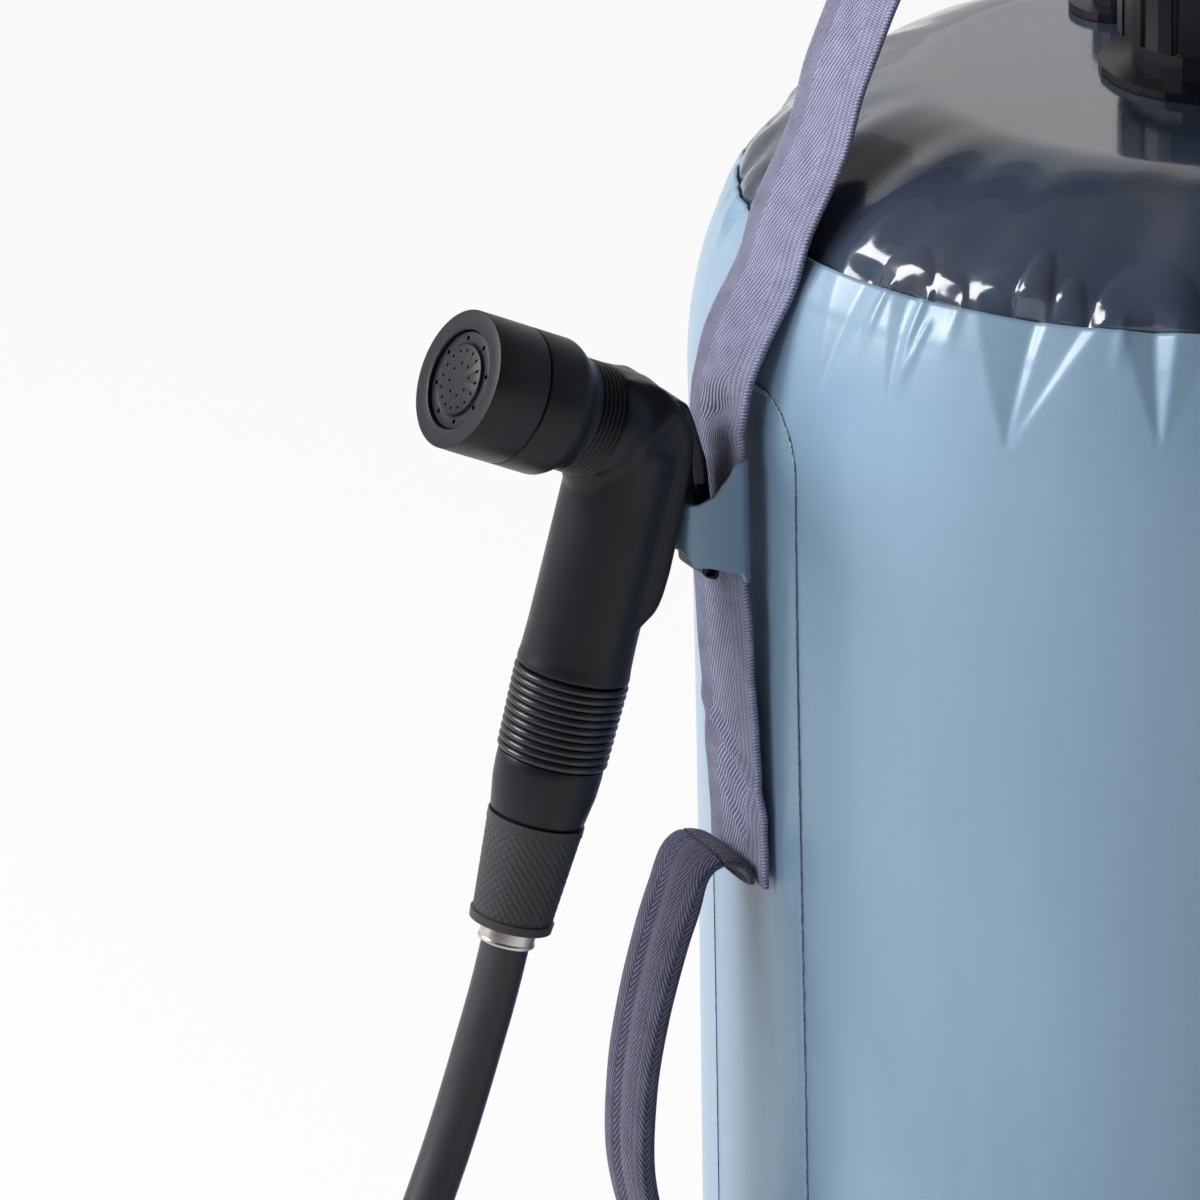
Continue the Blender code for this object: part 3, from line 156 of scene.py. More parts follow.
class SprayerSizes(bpy.types.PropertyGroup):
    reach: size("Reach", 0.0513, "From the elbow to the spray face")
    cap_radius: size("Cap radius", 0.0168, "Outside of the turning cap")
    cap_length: size("Cap length", 0.0147, "Length of the turning cap")
    cap_lip: size("Cap lip", 0.0020, "Thickness of the cap's front lip")
    cap_mouth: size("Cap mouth", 0.0120, "Radius of the cap's mouth")
    bulge: size("Bulge", 0.0115, "Length of the collar behind the cap")
    neck_radius: size("Neck radius", 0.0139, "Outside of the head's neck")
    neck_start: size("Neck start", 0.0193, "From the elbow to the neck's first rib")
    rib_pitch: size("Neck rib pitch", 0.00125, "Distance between the neck's fine ribs")
    ribs: count("Neck ribs", 6, "Fine ribs round the neck")
    handle_radius: size("Handle radius", 0.0134, "Outside of the round handle")
    grip_start: size("Grip start", 0.0608, "From the elbow to the grip sleeve")
    grip_length: size("Grip length", 0.0214, "Length of the grip sleeve")
    grip_ribs: count("Grip ribs", 11, "Ribs of the grip sleeve")
    nut_start: size("Nut start", 0.0979, "From the elbow to the hose nut")
    hump_half: size("Hump half width", 0.0119, "Half the width of the hump")
    lever_width: size("Lever width", 0.0134, "Width of the trigger lever's tongue")


class HoseSizes(bpy.types.PropertyGroup):
    radius: size("Hose radius", 0.00595, "Outside of the hose")
    coil_outer: size("Coil radius", 0.0720, "Middle line of the outermost turn")
    coil_pitch: size("Coil pitch", 0.0132, "Distance between turns that lie side by side")
    coil_layer: size("Coil layer", 0.0128, "Distance between layers")
    coil_turns: share("Coil turns", 2.25, "Turns in the coil")
    nut_length: size("Nut length", 0.0275, "Length of a hose nut")
    nut_top: size("Nut top radius", 0.0119, "Outside of a nut at its mouth")
    nut_low: size("Nut low radius", 0.0098, "Outside of a nut at the hose")
    knurl: size("Knurl", 0.0011, "Size of one diamond of the knurl")


class Tints(bpy.types.PropertyGroup):
    fabric: tint("Fabric", (121, 148, 171), "Coated fabric of the wall")
    crown: tint("Crown", (52, 62, 78), "Glossy fabric of the top panel")
    loop: tint("Loop", (113, 139, 163), "Coated fabric of the nozzle loop")
    thread_light: tint("Light thread", (178, 181, 215), "Light yarn of the strap")
    thread_dark: tint("Dark thread", (74, 74, 112), "Shaded yarn of the strap")
    handle_light: tint("Handle thread", (116, 116, 148), "Light yarn of the folded handles")
    black: tint("Black plastic", (14, 14, 23), "Moulded plastic of the sprayer")
    grey: tint("Grey plastic", (50, 49, 53), "Moulded plastic of the hose nuts")
    rubber: tint("Rubber", (24, 24, 31), "Seals and the grip sleeve")
    hose: tint("Hose", (48, 47, 52), "Smooth hose")
    steel: tint("Steel", (214, 204, 202), "Brushed steel")
    brass: tint("Brass", (212, 178, 112), "Machined brass")


# Shaders

class Signal:
    """A value in a shader. A sum or product of signals adds its Math nodes."""

    def __init__(self, finish, socket):
        self.finish, self.socket = finish, socket

    def math(self, operation, first, second=0.0):
        return self.finish.node("Math", {"operation": operation}, {0: first, 1: second})

    def __add__(self, other): return self.math("ADD", self, other)
    def __radd__(self, other): return self.math("ADD", other, self)
    def __sub__(self, other): return self.math("SUBTRACT", self, other)
    def __rsub__(self, other): return self.math("SUBTRACT", other, self)
    def __mul__(self, other): return self.math("MULTIPLY", self, other)
    def __rmul__(self, other): return self.math("MULTIPLY", other, self)
    def wave(self): return self.math("SINE", self)
    def size(self): return self.math("ABSOLUTE", self)
    def fold(self, other): return self.math("PINGPONG", self, other)
    def most(self, other): return self.math("MAXIMUM", self, other)


class Finish:
    """A material, and the one way in which its nodes are made."""

    def __init__(self, name, colour, roughness, metallic=0.0, **plain):
        self.material = bpy.data.materials.new(name)
        self.material.use_nodes = True
        self.tree = self.material.node_tree
        self.shader = self.tree.nodes["Principled BSDF"]
        self.colour = (*colour, 1.0)
        self.set("Base Color", self.colour)
        self.set("Roughness", roughness)
        self.set("Metallic", metallic)
        for socket, value in plain.items():
            self.set(socket.replace("_", " "), value)

    def node(self, kind, settings=None, sockets=None, out=0):
        made = self.tree.nodes.new("ShaderNode" + kind)
        for key, value in (settings or {}).items():
            if key == "stops":
                ramp = made.color_ramp.elements
                while len(ramp) < len(value):
                    ramp.new(0.5)
                for element, (place, grey) in zip(ramp, value):
                    element.position, element.color = place, (grey, grey, grey, 1.0)
            else:
                setattr(made, key, value)
        for key, value in (sockets or {}).items():
            socket = made.inputs[key]
            if isinstance(value, Signal):
                self.tree.links.new(value.socket, socket)
            else:
                socket.default_value = value
        return Signal(self, made.outputs[out])

    def set(self, socket, value):
        if isinstance(value, Signal):
            self.tree.links.new(value.socket, self.shader.inputs[socket])
        else:
            self.shader.inputs[socket].default_value = value

    def place(self):
        """Object coordinates."""
        return self.node("TexCoord", out=3)

    def chart(self):
        """Across and along a sheet, in metres, from its UV map."""
        whole = self.node("UVMap", {"uv_map": "UVMap"})
        return whole, *(self.node("SeparateXYZ", sockets={0: whole}, out=i) for i in range(2))

    def noise(self, where, scale, detail=2.0, roughness=0.5):
        sockets = {"Vector": where, "Scale": scale, "Detail": detail, "Roughness": roughness}
        return self.node("TexNoise", None, sockets)

    def stretch(self, where, scales):
        return self.node("Mapping", None, {"Vector": where, "Scale": scales})

    def between(self, value, low, high, to_low=0.0, to_high=1.0):
        return self.node("MapRange", {"clamp": True}, {0: value, 1: low, 2: high, 3: to_low, 4: to_high})

    def mix(self, factor, first, second):
        return self.node("Mix", {"data_type": "RGBA"}, {0: factor, 6: first, 7: second}, out=2)

    def bump(self, height, strength, distance):
        return self.node("Bump", None, {"Height": height, "Strength": strength, "Distance": distance})

    def mottle(self, cloud, dark, light):
        """Lets the colour wander between a darker and a lighter shade of itself."""
        self.set("Base Color", self.mix(cloud, shaded(self.colour, dark), shaded(self.colour, light)))


# Brown painted into patches of the top panel's colour: a painted reflection of the room.
PAINTED_REFLECTION_BROWN = (0.085, 0.068, 0.070, 1.0)
PALE_WELD = (0.55, 0.64, 0.70, 1.0)
WELD_PALES = (0.318, 0.330)             # heights between which the welded line turns pale
ZIGZAG = 0.0042                         # half the width of the handles' zigzag
TURNING = (500.0, 500.0, 12000.0)       # lines to the metre in turned metal


def shaded(colour, share_of):
    """The same colour, lighter above 1 and darker below it."""
    return tuple(min(1.0, c * share_of) for c in colour[:3]) + (1.0,)


def fabric_finish(name, colour, roughness, grain=0.3, streak=0.5):
    """Coated cloth: a satin skin with a very fine weave under it."""
    made = Finish(name, colour, roughness, Coat_Weight=0.25, Coat_Roughness=0.22)
    where = made.place()
    cloudy = made.noise(where, 9.0, 3.0)
    streaks = made.noise(made.stretch(where, (60.0, 60.0, 5.0)), 1.0, 3.0)
    tone = made.between(cloudy * (1.0 - streak) + streaks * streak, 0.3, 0.7)
    made.mottle(tone, 0.93, 1.07)
    scuffs = made.noise(where, 160.0, 4.0, 0.6)
    made.set("Roughness", made.between(scuffs, 0.2, 0.8, roughness - 0.015, roughness + 0.04))
    across, along = made.chart()[1:]
    threads = (across * 9000.0).wave() * (along * 9000.0).wave()
    fine = made.noise(where, 1400.0, 2.0)
    height = threads * 0.2 + fine + streaks * 1.2
    made.set("Normal", made.bump(height, grain, 0.0001))
    return made.material


def crown_finish(colour):
    """Glossy coated cloth with faint ripples, and brown patches painted into its colour as a painted
    reflection of the room.
    """
    made = Finish("dark_glossy_fabric", colour, 0.14, Coat_Weight=0.35, Coat_Roughness=0.05)
    where = made.place()
    cloudy = made.noise(where, 14.0, 3.0)
    warm = made.mix(cloudy, shaded(made.colour, 0.75), shaded(made.colour, 1.2))
    # Brown patches by noise, mixed into the colour: a painted reflection of the room.
    painted_reflection = made.between(made.noise(where, 38.0, 2.0), 0.52, 0.70, 0.0, 0.35)
    made.set("Base Color", made.mix(painted_reflection, warm, PAINTED_REFLECTION_BROWN))
    haze = made.noise(where, 240.0, 4.0, 0.65)
    made.set("Roughness", made.between(haze, 0.35, 0.75, 0.10, 0.22))
    ripple = made.noise(where, 42.0, 2.0)
    grain = made.noise(where, 1500.0, 2.0)
    made.set("Normal", made.bump(ripple * 2.0 + grain * 0.12, 0.12, 0.0004))
    return made.material


def weave_finish(name, light, dark, width, pitch=0.0013, zones=True):
    """Polyester webbing. Across its width: a fine net, long slanted ribs, short cross stitches and a
    beaded edge. Without zones, a zigzag over the whole width."""
    made = Finish(name, light, 0.7, Sheen_Weight=0.25, Sheen_Roughness=0.4, Specular_IOR_Level=0.35)
    where, across, along = made.chart()
    whole = math.tau / pitch
    share_of = across * (1.0 / width)
    if zones:
        net = ((along + across * 0.9) * whole * 1.05).wave() * ((along - across * 0.9) * whole * 1.05).wave()
        ribs = ((across * 0.90 + along * 0.44) * whole * 1.1).wave() * 0.42 + 0.5
        twist = ((along - across * 0.55) * whole * 1.6).wave() * 0.24
        stitches = (along * whole * 1.05).wave().size() * ((across * whole * 0.62).wave() * 0.30 + 0.70)
        beads = ((along + across * 0.5) * whole * 1.5).wave() * 0.35 + 0.55
        left = made.between(share_of, 0.76, 0.79)
        right = made.between(share_of, 0.33, 0.30)
        rim = made.between(share_of, 0.045, 0.035)
        yarn = (net.size() * 0.9 + 0.1) * left + (ribs + twist) * (1.0 - left)
        yarn = yarn * (1.0 - right) + stitches * right
        yarn = yarn * (1.0 - rim) + beads * rim
    else:
        zigzag = across.fold(ZIGZAG)
        slant = ((along + zigzag * 1.5) * whole).wave() * 0.5 + 0.5
        knit = (across * whole * 0.8).wave() * 0.5 + 0.5
        yarn = slant * (knit * 0.6 + 0.4)
    tufts = made.noise(where, 2300.0, 4.0, 0.75)
    wander = made.noise(where, 150.0, 3.0)
    height = yarn + tufts * 0.9
    tone = made.between(height * 0.72 + wander * 0.5, 0.52, 1.28)
    made.set("Base Color", made.mix(tone, (*dark, 1.0), (*light, 1.0)))
    made.set("Roughness", made.between(tufts, 0.3, 0.8, 0.60, 0.90))
    made.set("Normal", made.bump(height, 1.0, 0.00055))
    return made.material


def moulded_finish(name, colour, roughness, grain=0.12, shine=0.32):
    """Satin moulded plastic with a fine grain, and faint rubbed patches."""
    made = Finish(name, colour, roughness, Specular_IOR_Level=shine)
    where = made.place()
    patches = made.noise(where, 45.0, 4.0, 0.6)
    made.mottle(patches, 0.86, 1.16)
    made.set("Roughness", made.between(patches, 0.3, 0.7, roughness - 0.05, roughness + 0.07))
    pits = made.noise(where, 3200.0, 2.0, 0.6)
    made.set("Normal", made.bump(pits, grain, 0.00012))
    return made.material


def weld_finish(colour):
    """The line at a welded edge: dark and broken, and pale where it reaches the shoulder."""
    made = Finish("weld_line", colour, 0.5)
    where = made.place()
    breaks = made.between(made.noise(where, 900.0, 3.0, 0.7), 0.42, 0.58)
    height = made.node("SeparateXYZ", sockets={0: where}, out=2)
    pale = made.between(height, *WELD_PALES) * breaks
    dark = made.mix(breaks, shaded(made.colour, 0.6), shaded(made.colour, 2.4))
    made.set("Base Color", made.mix(pale, dark, PALE_WELD))
    made.set("Roughness", made.between(breaks, 0.0, 1.0, 0.65, 0.4))
    return made.material


def hose_finish(colour):
    """Smooth dark rubber with a little dust."""
    made = Finish("hose_rubber", colour, 0.42, Specular_IOR_Level=0.35)
    where = made.place()
    dust = made.noise(where, 130.0, 5.0, 0.65)
    made.mottle(dust, 0.85, 1.2)
    made.set("Roughness", made.between(dust, 0.3, 0.75, 0.36, 0.52))
    made.set("Normal", made.bump(made.noise(where, 2200.0, 2.0), 0.08, 0.0001))
    return made.material


def metal_finish(name, colour, roughness):
    """Turned metal: fine lines round the piece."""
    made = Finish(name, colour, roughness, metallic=1.0)
    where = made.place()
    lines = made.noise(made.stretch(where, TURNING), 1.0, 3.0, 0.6)
    stain = made.noise(where, 210.0, 3.0)
    made.mottle(stain, 0.88, 1.05)
    made.set("Roughness", made.between(lines, 0.3, 0.7, roughness - 0.08, roughness + 0.12))
    made.set("Normal", made.bump(lines, 0.12, 0.00008))
    return made.material


FINISHES = {}


def finishes():
    """Makes every material once."""
    if FINISHES:
        return FINISHES
    tints = bpy.context.scene.shower_tints
    web = bpy.context.scene.shower_webbing
    around = 2 * (web.handle_width + web.handle_thickness)
    FINISHES.update(
        fabric=fabric_finish("coated_wall_fabric", tints.fabric, 0.31),
        patch=fabric_finish("coated_patch_fabric", tints.fabric, 0.31, grain=0.4, streak=0.2),
        loop=fabric_finish("coated_loop_fabric", tints.loop, 0.45, grain=0.4, streak=0.1),
        crown=crown_finish(tints.crown),
        strap=weave_finish("strap_webbing", tints.thread_light, tints.thread_dark, web.width),
        handle=weave_finish("handle_webbing", tints.handle_light, shaded(tints.thread_dark, 0.28)[:3],
                            around, 0.0017, False),
        black=moulded_finish("black_satin_plastic", tints.black, 0.38),
        grey=moulded_finish("grey_knurled_plastic", tints.grey, 0.44, 0.15),
        rubber=moulded_finish("soft_black_rubber", tints.rubber, 0.30, 0.2, 0.55),
        weld=weld_finish(shaded(tints.fabric, 0.30)[:3]),
        hose=hose_finish(tints.hose),
        steel=metal_finish("brushed_steel_ring", tints.steel, 0.30),
        brass=metal_finish("machined_brass", tints.brass, 0.28),
    )
    return FINISHES


# Building blocks

def rotated(degrees, axis):
    return Matrix.Rotation(math.radians(degrees), 4, axis)


def turned(profile, steps=96, place=Matrix(), closed=False):
    """A turned shape: the profile (radius, height) is spun about Z, then put in its place."""
    made = bmesh.new()
    verts = [made.verts.new((r, 0.0, z)) for r, z in profile]
    edges = [made.edges.new(pair) for pair in zip(verts, verts[1:])]
    if closed:
        edges.append(made.edges.new((verts[-1], verts[0])))
    bmesh.ops.spin(made, geom=verts + edges, axis=(0, 0, 1), cent=(0, 0, 0), angle=math.tau, steps=steps,
                   use_merge=True)
    bmesh.ops.remove_doubles(made, verts=made.verts, dist=1e-6)
    bmesh.ops.recalc_face_normals(made, faces=made.faces)
    bmesh.ops.transform(made, matrix=place, verts=made.verts)
    return made


def slab(outline, half, place=Matrix()):
    """A flat outline in the X-Z plane, made solid along Y."""
    made = bmesh.new()
    face = made.faces.new([made.verts.new((x, -half, z)) for x, z in outline])
    grown = bmesh.ops.extrude_face_region(made, geom=[face])["geom"]
    far = [v for v in grown if isinstance(v, bmesh.types.BMVert)]
    bmesh.ops.translate(made, verts=far, vec=(0, 2 * half, 0))
    bmesh.ops.recalc_face_normals(made, faces=made.faces)
    bmesh.ops.transform(made, matrix=place, verts=made.verts)
    return made


def sheet(columns, rows, place, measure, away=None):
    """A sheet from a grid. place(u, v) gives each point, and measure its width and length for the UV
    map. Its faces point away from a place, if one is given."""
    made = bmesh.new()
    bmesh.ops.create_grid(made, x_segments=columns, y_segments=rows, size=0.5)
    chart = made.loops.layers.uv.new("UVMap")
    for face in made.faces:
        for corner in face.loops:
            u, v = corner.vert.co.x + 0.5, corner.vert.co.y + 0.5
            corner[chart].uv = (measure[0](u) if callable(measure[0]) else u * measure[0], v * measure[1])
    for vert in made.verts:
        vert.co = place(vert.co.x + 0.5, vert.co.y + 0.5)
    bmesh.ops.remove_doubles(made, verts=made.verts, dist=1e-6)
    bmesh.ops.recalc_face_normals(made, faces=made.faces)
    if away is not None:
        made.normal_update()
        if sum(f.normal.dot(f.calc_center_median() - Vector(away)) for f in made.faces) < 0:
            bmesh.ops.reverse_faces(made, faces=made.faces)
    return made


def eased(made, width, angle=28.0, segments=2):
    """Rounds the edges that are sharper than an angle."""
    made.normal_update()
    sharp = [e for e in made.edges if e.is_manifold and e.calc_face_angle(0.0) > math.radians(angle)]
    bmesh.ops.bevel(made, geom=sharp, offset=width, offset_type="OFFSET", segments=segments, profile=0.5,
                    affect="EDGES", clamp_overlap=True, material=-1)
    return made


def joined(*forms):
    """Several forms as one, in one bmesh."""
    made = bmesh.new()
    for form in forms:
        data = mesh_of("form", form)
        made.from_mesh(data)
        bpy.data.meshes.remove(data)
    return made


def mesh_of(name, made):
    data = bpy.data.meshes.new(name)
    made.to_mesh(data)
    made.free()
    return data


def shown(name, data):
    """An object with the data, in the scene."""
    found = bpy.data.objects.new(name, data)
    bpy.context.scene.collection.objects.link(found)
    return found


def piece(name, made, finish, body, *nodes, sharp=40.0):
    """Puts a finished form in the scene, riding on its body if it has one of its own, in the place of
    the solids it stands for."""
    data = mesh_of(name, made) if isinstance(made, bmesh.types.BMesh) else made
    data.name = name
    data.shade_smooth()
    data.set_sharp_from_angle(angle=math.radians(sharp))
    data.materials.clear()
    data.materials.append(finishes()[finish])
    found = shown(name, data)
    if body:
        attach(found, body)
    if nodes:
        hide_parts(*nodes)
    return found


def thicken(target, thickness, offset=-1.0):
    step = target.modifiers.new("thickness", "SOLIDIFY")
    step.thickness = thickness
    step.offset = offset
    step.use_even_offset = True
    return target


def skin_round(forms, voxel, rounds, cutters=()):
    """One smooth closed skin round forms that overlap, as a moulding has, with crisp cuts made last."""
    holder = shown("holder", mesh_of("holder", joined(*forms)))
    step = holder.modifiers.new("skin", "REMESH")
    step.mode = "VOXEL"
    step.voxel_size = voxel
    step = holder.modifiers.new("smooth", "SMOOTH")
    step.factor = 0.5
    step.iterations = rounds
    return finished(holder, cutters)


def finished(holder, cutters=()):
    """The mesh of a holder as its modifiers leave it, with the cutters taken out. The holder goes."""
    tools = []
    for cutter in cutters:
        tool = shown("tool", mesh_of("tool", cutter))
        step = holder.modifiers.new("cut", "BOOLEAN")
        step.operation = "DIFFERENCE"
        step.solver = "EXACT"
        step.object = tool
        tools.append(tool)
    bpy.context.view_layer.update()
    data = bpy.data.meshes.new_from_object(holder.evaluated_get(bpy.context.evaluated_depsgraph_get()))
    for done in (holder, *tools):
        old = done.data
        bpy.data.objects.remove(done)
        (bpy.data.meshes if isinstance(old, bpy.types.Mesh) else bpy.data.curves).remove(old)
    return data


def curve_through(points, per_span=8):
    """Close points on a smooth line through the given ones, which may be 2-D or 3-D."""
    points = [Vector(p) for p in points]
    points = [points[0] * 2 - points[1], *points, points[-1] * 2 - points[-2]]
    found = [points[1]]
    for before, a, b, after in zip(points, points[1:], points[2:], points[3:]):
        for i in range(1, per_span + 1):
            t = i / per_span
            found.append(0.5 * (2 * a + (b - before) * t + (2 * before - 5 * a + 4 * b - after) * t * t
                                + (3 * a - before - 3 * b + after) * t ** 3))
    return found


def evenly(line, steps):
    """The line's points, spaced evenly along it."""
    lengths = [0.0]
    for p, q in zip(line, line[1:]):
        lengths.append(lengths[-1] + (q - p).length)
    found, at = [], 0
    for i in range(steps + 1):
        target = lengths[-1] * i / steps
        while at < len(line) - 2 and lengths[at + 1] < target:
            at += 1
        stretch = lengths[at + 1] - lengths[at]
        found.append(line[at].lerp(line[at + 1], (target - lengths[at]) / stretch if stretch else 0.0))
    return found, lengths[-1]


def ease(value):
    """From 0 to 1 with soft ends."""
    value = min(1.0, max(0.0, value))
    return value * value * (3.0 - 2.0 * value)


def bell(distance, width):
    """1 in the middle, fading to nothing over about two widths."""
    return math.exp(-(distance / width) ** 2)


# Places shared by the pieces

def sprayer_place():
    """The sprayer's frame: its elbow, +X forwards as it sprays, +Z up the handle."""
    turn = rotated(SPRAYER_YAW, "Z") @ rotated(SPRAYER_LEAN, "Y")
    return Matrix.Translation(ELBOW) @ turn @ rotated(SPRAYER_ROLL, "X")


def head_place():
    """The head's frame: +Z points out of the spray face."""
    return sprayer_place() @ rotated(90.0 - HEAD_TILT, "Y")


def outlet_place():
    """The outlet's fitting: +Z points from the hose towards the spout."""
    turn = rotated(OUTLET_BEARING, "Z") @ rotated(90.0, "Y")
    tip = math.sqrt(WALL_INSIDE ** 2 - OUTLET_FLANGE_RADIUS ** 2) - GAP + SPOUT_LENGTH
    return (Matrix.Translation((0.0, 0.0, OUTLET_HEIGHT)) @ turn @ Matrix.Translation((0.0, 0.0, tip))
            @ rotated(180.0, "X"))


def apart(bearing, middle):
    """Degrees from a middle to a bearing, the short way round."""
    return (bearing - middle + 180.0) % 360.0 - 180.0


# The photograph shows the gathers between two bearings. The rest are scattered.
SHOWN_FROM, SHOWN_TO = 185.0, 246.0
# Domes of the top panel: middle and half width in degrees, height, depth.
DOMES = (
    (200.6, 4.0, 0.0125, 0.0010), (206.9, 2.8, 0.0080, 0.0007), (212.2, 3.0, 0.0075, 0.0005),
    (217.6, 2.3, 0.0180, 0.0013), (222.0, 2.0, 0.0120, 0.0009), (231.0, 6.4, 0.0180, 0.0017),
    (241.6, 3.8, 0.0110, 0.0013),
)
# Small gathers: bearing and distance below the seam of one end and of the other, width, depth.
GATHERS = (
    (199.2, -0.002, 198.2, 0.0180, 0.0014, 0.00060), (204.4, -0.002, 203.8, 0.0290, 0.0016, 0.00085),
    (206.0, 0.006, 204.0, 0.0240, 0.0012, 0.00060), (209.2, -0.002, 209.0, 0.0150, 0.0022, 0.00050),
    (228.6, -0.002, 228.4, 0.0120, 0.0020, 0.00040),
)
# Larger pleats: bearing of the point, its distance below the seam, then for each line from left to
# right its bearing and depth at the seam. Flat faces join the lines.
PLEATS = (
    (193.2, 0.0290, ((189.0, 0.0), (191.4, 0.0003), (195.2, -0.0013), (199.6, 0.0))),
    (203.2, 0.0300, ((200.0, 0.0), (202.2, -0.0011), (204.6, -0.0004), (208.8, 0.0))),
    (217.4, 0.0315, ((211.6, 0.0), (218.2, -0.0027), (219.8, -0.0013), (224.0, -0.0014), (225.8, 0.0))),
    (233.4, 0.0280, ((228.6, 0.0), (232.0, -0.0017), (234.6, 0.0008), (239.0, 0.0))),
)


class Skin:
    """The bag's outer surface, with its gathers at the top seam."""

    def __init__(self, bag):
        self.bag = bag
        self.turn = math.acos(1.0 - (bag.radius - bag.seam_radius) / bag.shoulder_radius)
        self.seam_height = bag.shoulder_start + bag.shoulder_radius * math.sin(self.turn)
        self.arc = bag.shoulder_radius * self.turn
        self.creases, self.folds = [*GATHERS, *self.scattered()], self.pleats()
        dice = random.Random(5)
        self.domes = list(DOMES)
        for i in range(41):
            self.domes.append((SHOWN_TO + 7.4 * i + dice.uniform(-1.5, 1.5), dice.uniform(2.2, 4.6),
                               dice.uniform(0.007, 0.018), dice.uniform(0.0006, 0.0013)))

    def pleats(self):
        """The pleats that the photograph shows, and scattered ones round the rest."""
        found = list(PLEATS)
        dice = random.Random(23)
        at = SHOWN_TO
        while at < SHOWN_FROM + 360.0:
            wide, deep = dice.uniform(2.2, 4.6), dice.uniform(0.6, 1.3) * self.bag.pucker_depth
            ridge = at + dice.choice((-1.0, 1.0)) * 0.8
            found.append((at + dice.uniform(-1.5, 1.5), dice.uniform(0.016, 0.034),
                          ((at - wide, 0.0), (ridge - 0.6, -deep), (ridge + 0.8, deep * 0.3),
                           (at + wide, 0.0))))
            at += dice.uniform(7.0, 16.0)
        return found

    def folded(self, bearing, below):
        """Depth of the pleats at a point, with their edges softly rounded."""
        total = 0.0
        for point, reach, lines in self.folds:
            share_up = 1.0 - below / reach
            away = apart(bearing, point)
            if share_up <= 0.02 or abs(away) > 12.0:
                continue
            grow = min(1.15, share_up)
            edges = [(apart(at, point), deep) for at, deep in lines]
            value = 0.0
            for k in (-0.22, 0.0, 0.22):
                x = away / grow + k / grow * 0.6
                for (x0, d0), (x1, d1) in zip(edges, edges[1:]):
                    if x0 <= x < x1:
                        value += (d0 + (d1 - d0) * (x - x0) / (x1 - x0)) / 3.0
            total += value * min(1.0, grow) ** 0.78
        return total

    def scattered(self):
        """Small gathers round the rest, each a ridge with a dent beside it."""
        dice = random.Random(11)
        found = []
        for i in range(self.bag.puckers):
            bearing = 360.0 * (i + dice.uniform(-0.35, 0.35)) / self.bag.puckers
            lean, reach = dice.uniform(-2.6, 2.6), dice.uniform(0.010, 0.034)
            deep, wide = dice.uniform(0.4, 1.0) * self.bag.pucker_depth, dice.uniform(0.0014, 0.0030)
            if 187.0 < bearing < 243.0 or i % 2:
                continue
            found.append((bearing, -0.003, bearing + lean, reach, wide, deep))
            found.append((bearing + dice.choice((-2.4, 2.4)), -0.003, bearing + lean * 1.4, reach * 0.9,
                          wide * 1.5, -deep))
        return found

    def gather(self, bearing, below):
        """How far the skin stands out at a bearing in degrees, some way below the seam, or above it if
        negative."""
        pull = 0.30 + 0.70 * bell(apart(bearing, 206.0), 7.5)
        total = self.folded(bearing, below) - 0.0012 * pull * max(0.0, 1.0 - max(0.0, below) / 0.014) ** 2
        metres = math.radians(self.bag.radius)
        for b0, s0, b1, s1, width, depth in self.creases:
            away = apart(bearing, b0)
            if abs(away) > 12.0:
                continue
            px, py = away * metres, below - s0
            dx, dy = (b1 - b0) * metres, s1 - s0
            t = (px * dx + py * dy) / (dx * dx + dy * dy)
            near = min(1.0, max(0.0, t))
            gap = math.hypot(px - dx * near, py - dy * near)
            if gap < 4 * width:
                fade = ease((1.0 - t) / 0.6) if t > 0 else ease(1.0 + t * 2.2)
                total += depth * bell(gap, width * (0.7 + 0.5 * near)) * max(0.0, fade)
        return total

    def puff(self, bearing, above):
        """How far the top panel's domes stand up between the gathers, some way above the seam."""
        total = 0.0
        for middle, half, tall, deep in self.domes:
            away = apart(bearing, middle)
            left = 1.0 - (away / half) ** 2 - (above / tall) ** 2
            if left > 0.0 and abs(away) < half:
                total = max(total, deep * left ** 0.6)
        return total * ease((above + 0.001) / 0.002)

    def swell(self, bearing, height):
        """Slow waves over the whole wall."""
        turn = math.radians(bearing)
        return (0.00030 * math.sin(3 * turn + 11 * height) + 0.00022 * math.sin(7 * turn - 17 * height + 1.3)
                + 0.00012 * math.sin(13 * turn + 29 * height + 0.4))

    def point(self, bearing, along, outwards=0.0):
        """A point some way along the wall from its lower edge, and some way out of its outer face."""
        bag = self.bag
        straight = bag.shoulder_start - bag.base_lap
        if along <= straight:
            lean, radius, height = 0.0, bag.radius, bag.base_lap + along
        else:
            lean = (along - straight) / bag.shoulder_radius
            radius = bag.radius - bag.shoulder_radius + bag.shoulder_radius * math.cos(lean)
            height = bag.shoulder_start + bag.shoulder_radius * math.sin(lean)
        below = straight + self.arc - along
        outwards += self.swell(bearing, height) * ease((height - bag.base_lap) / 0.03)
        outwards += self.gather(bearing, below)
        outwards += 0.00022 * ease((bag.lap + 0.0007 - below) / 0.0014)
        turn = math.radians(bearing)
        radius += outwards * math.cos(lean)
        return Vector((radius * math.cos(turn), radius * math.sin(turn), height + outwards * math.sin(lean)))

    def length(self):
        return self.bag.shoulder_start - self.bag.base_lap + self.arc


def closer(u):
    """Bearing in degrees round the bag, with closer columns where the gathers are finest."""
    stops = ((0.0, 0.0), (0.32, 184.0), (0.68, 242.0), (1.0, 360.0))
    for (u0, b0), (u1, b1) in zip(stops, stops[1:]):
        if u <= u1:
            return b0 + (b1 - b0) * (u - u0) / (u1 - u0)
    return 360.0


# Camera, stage

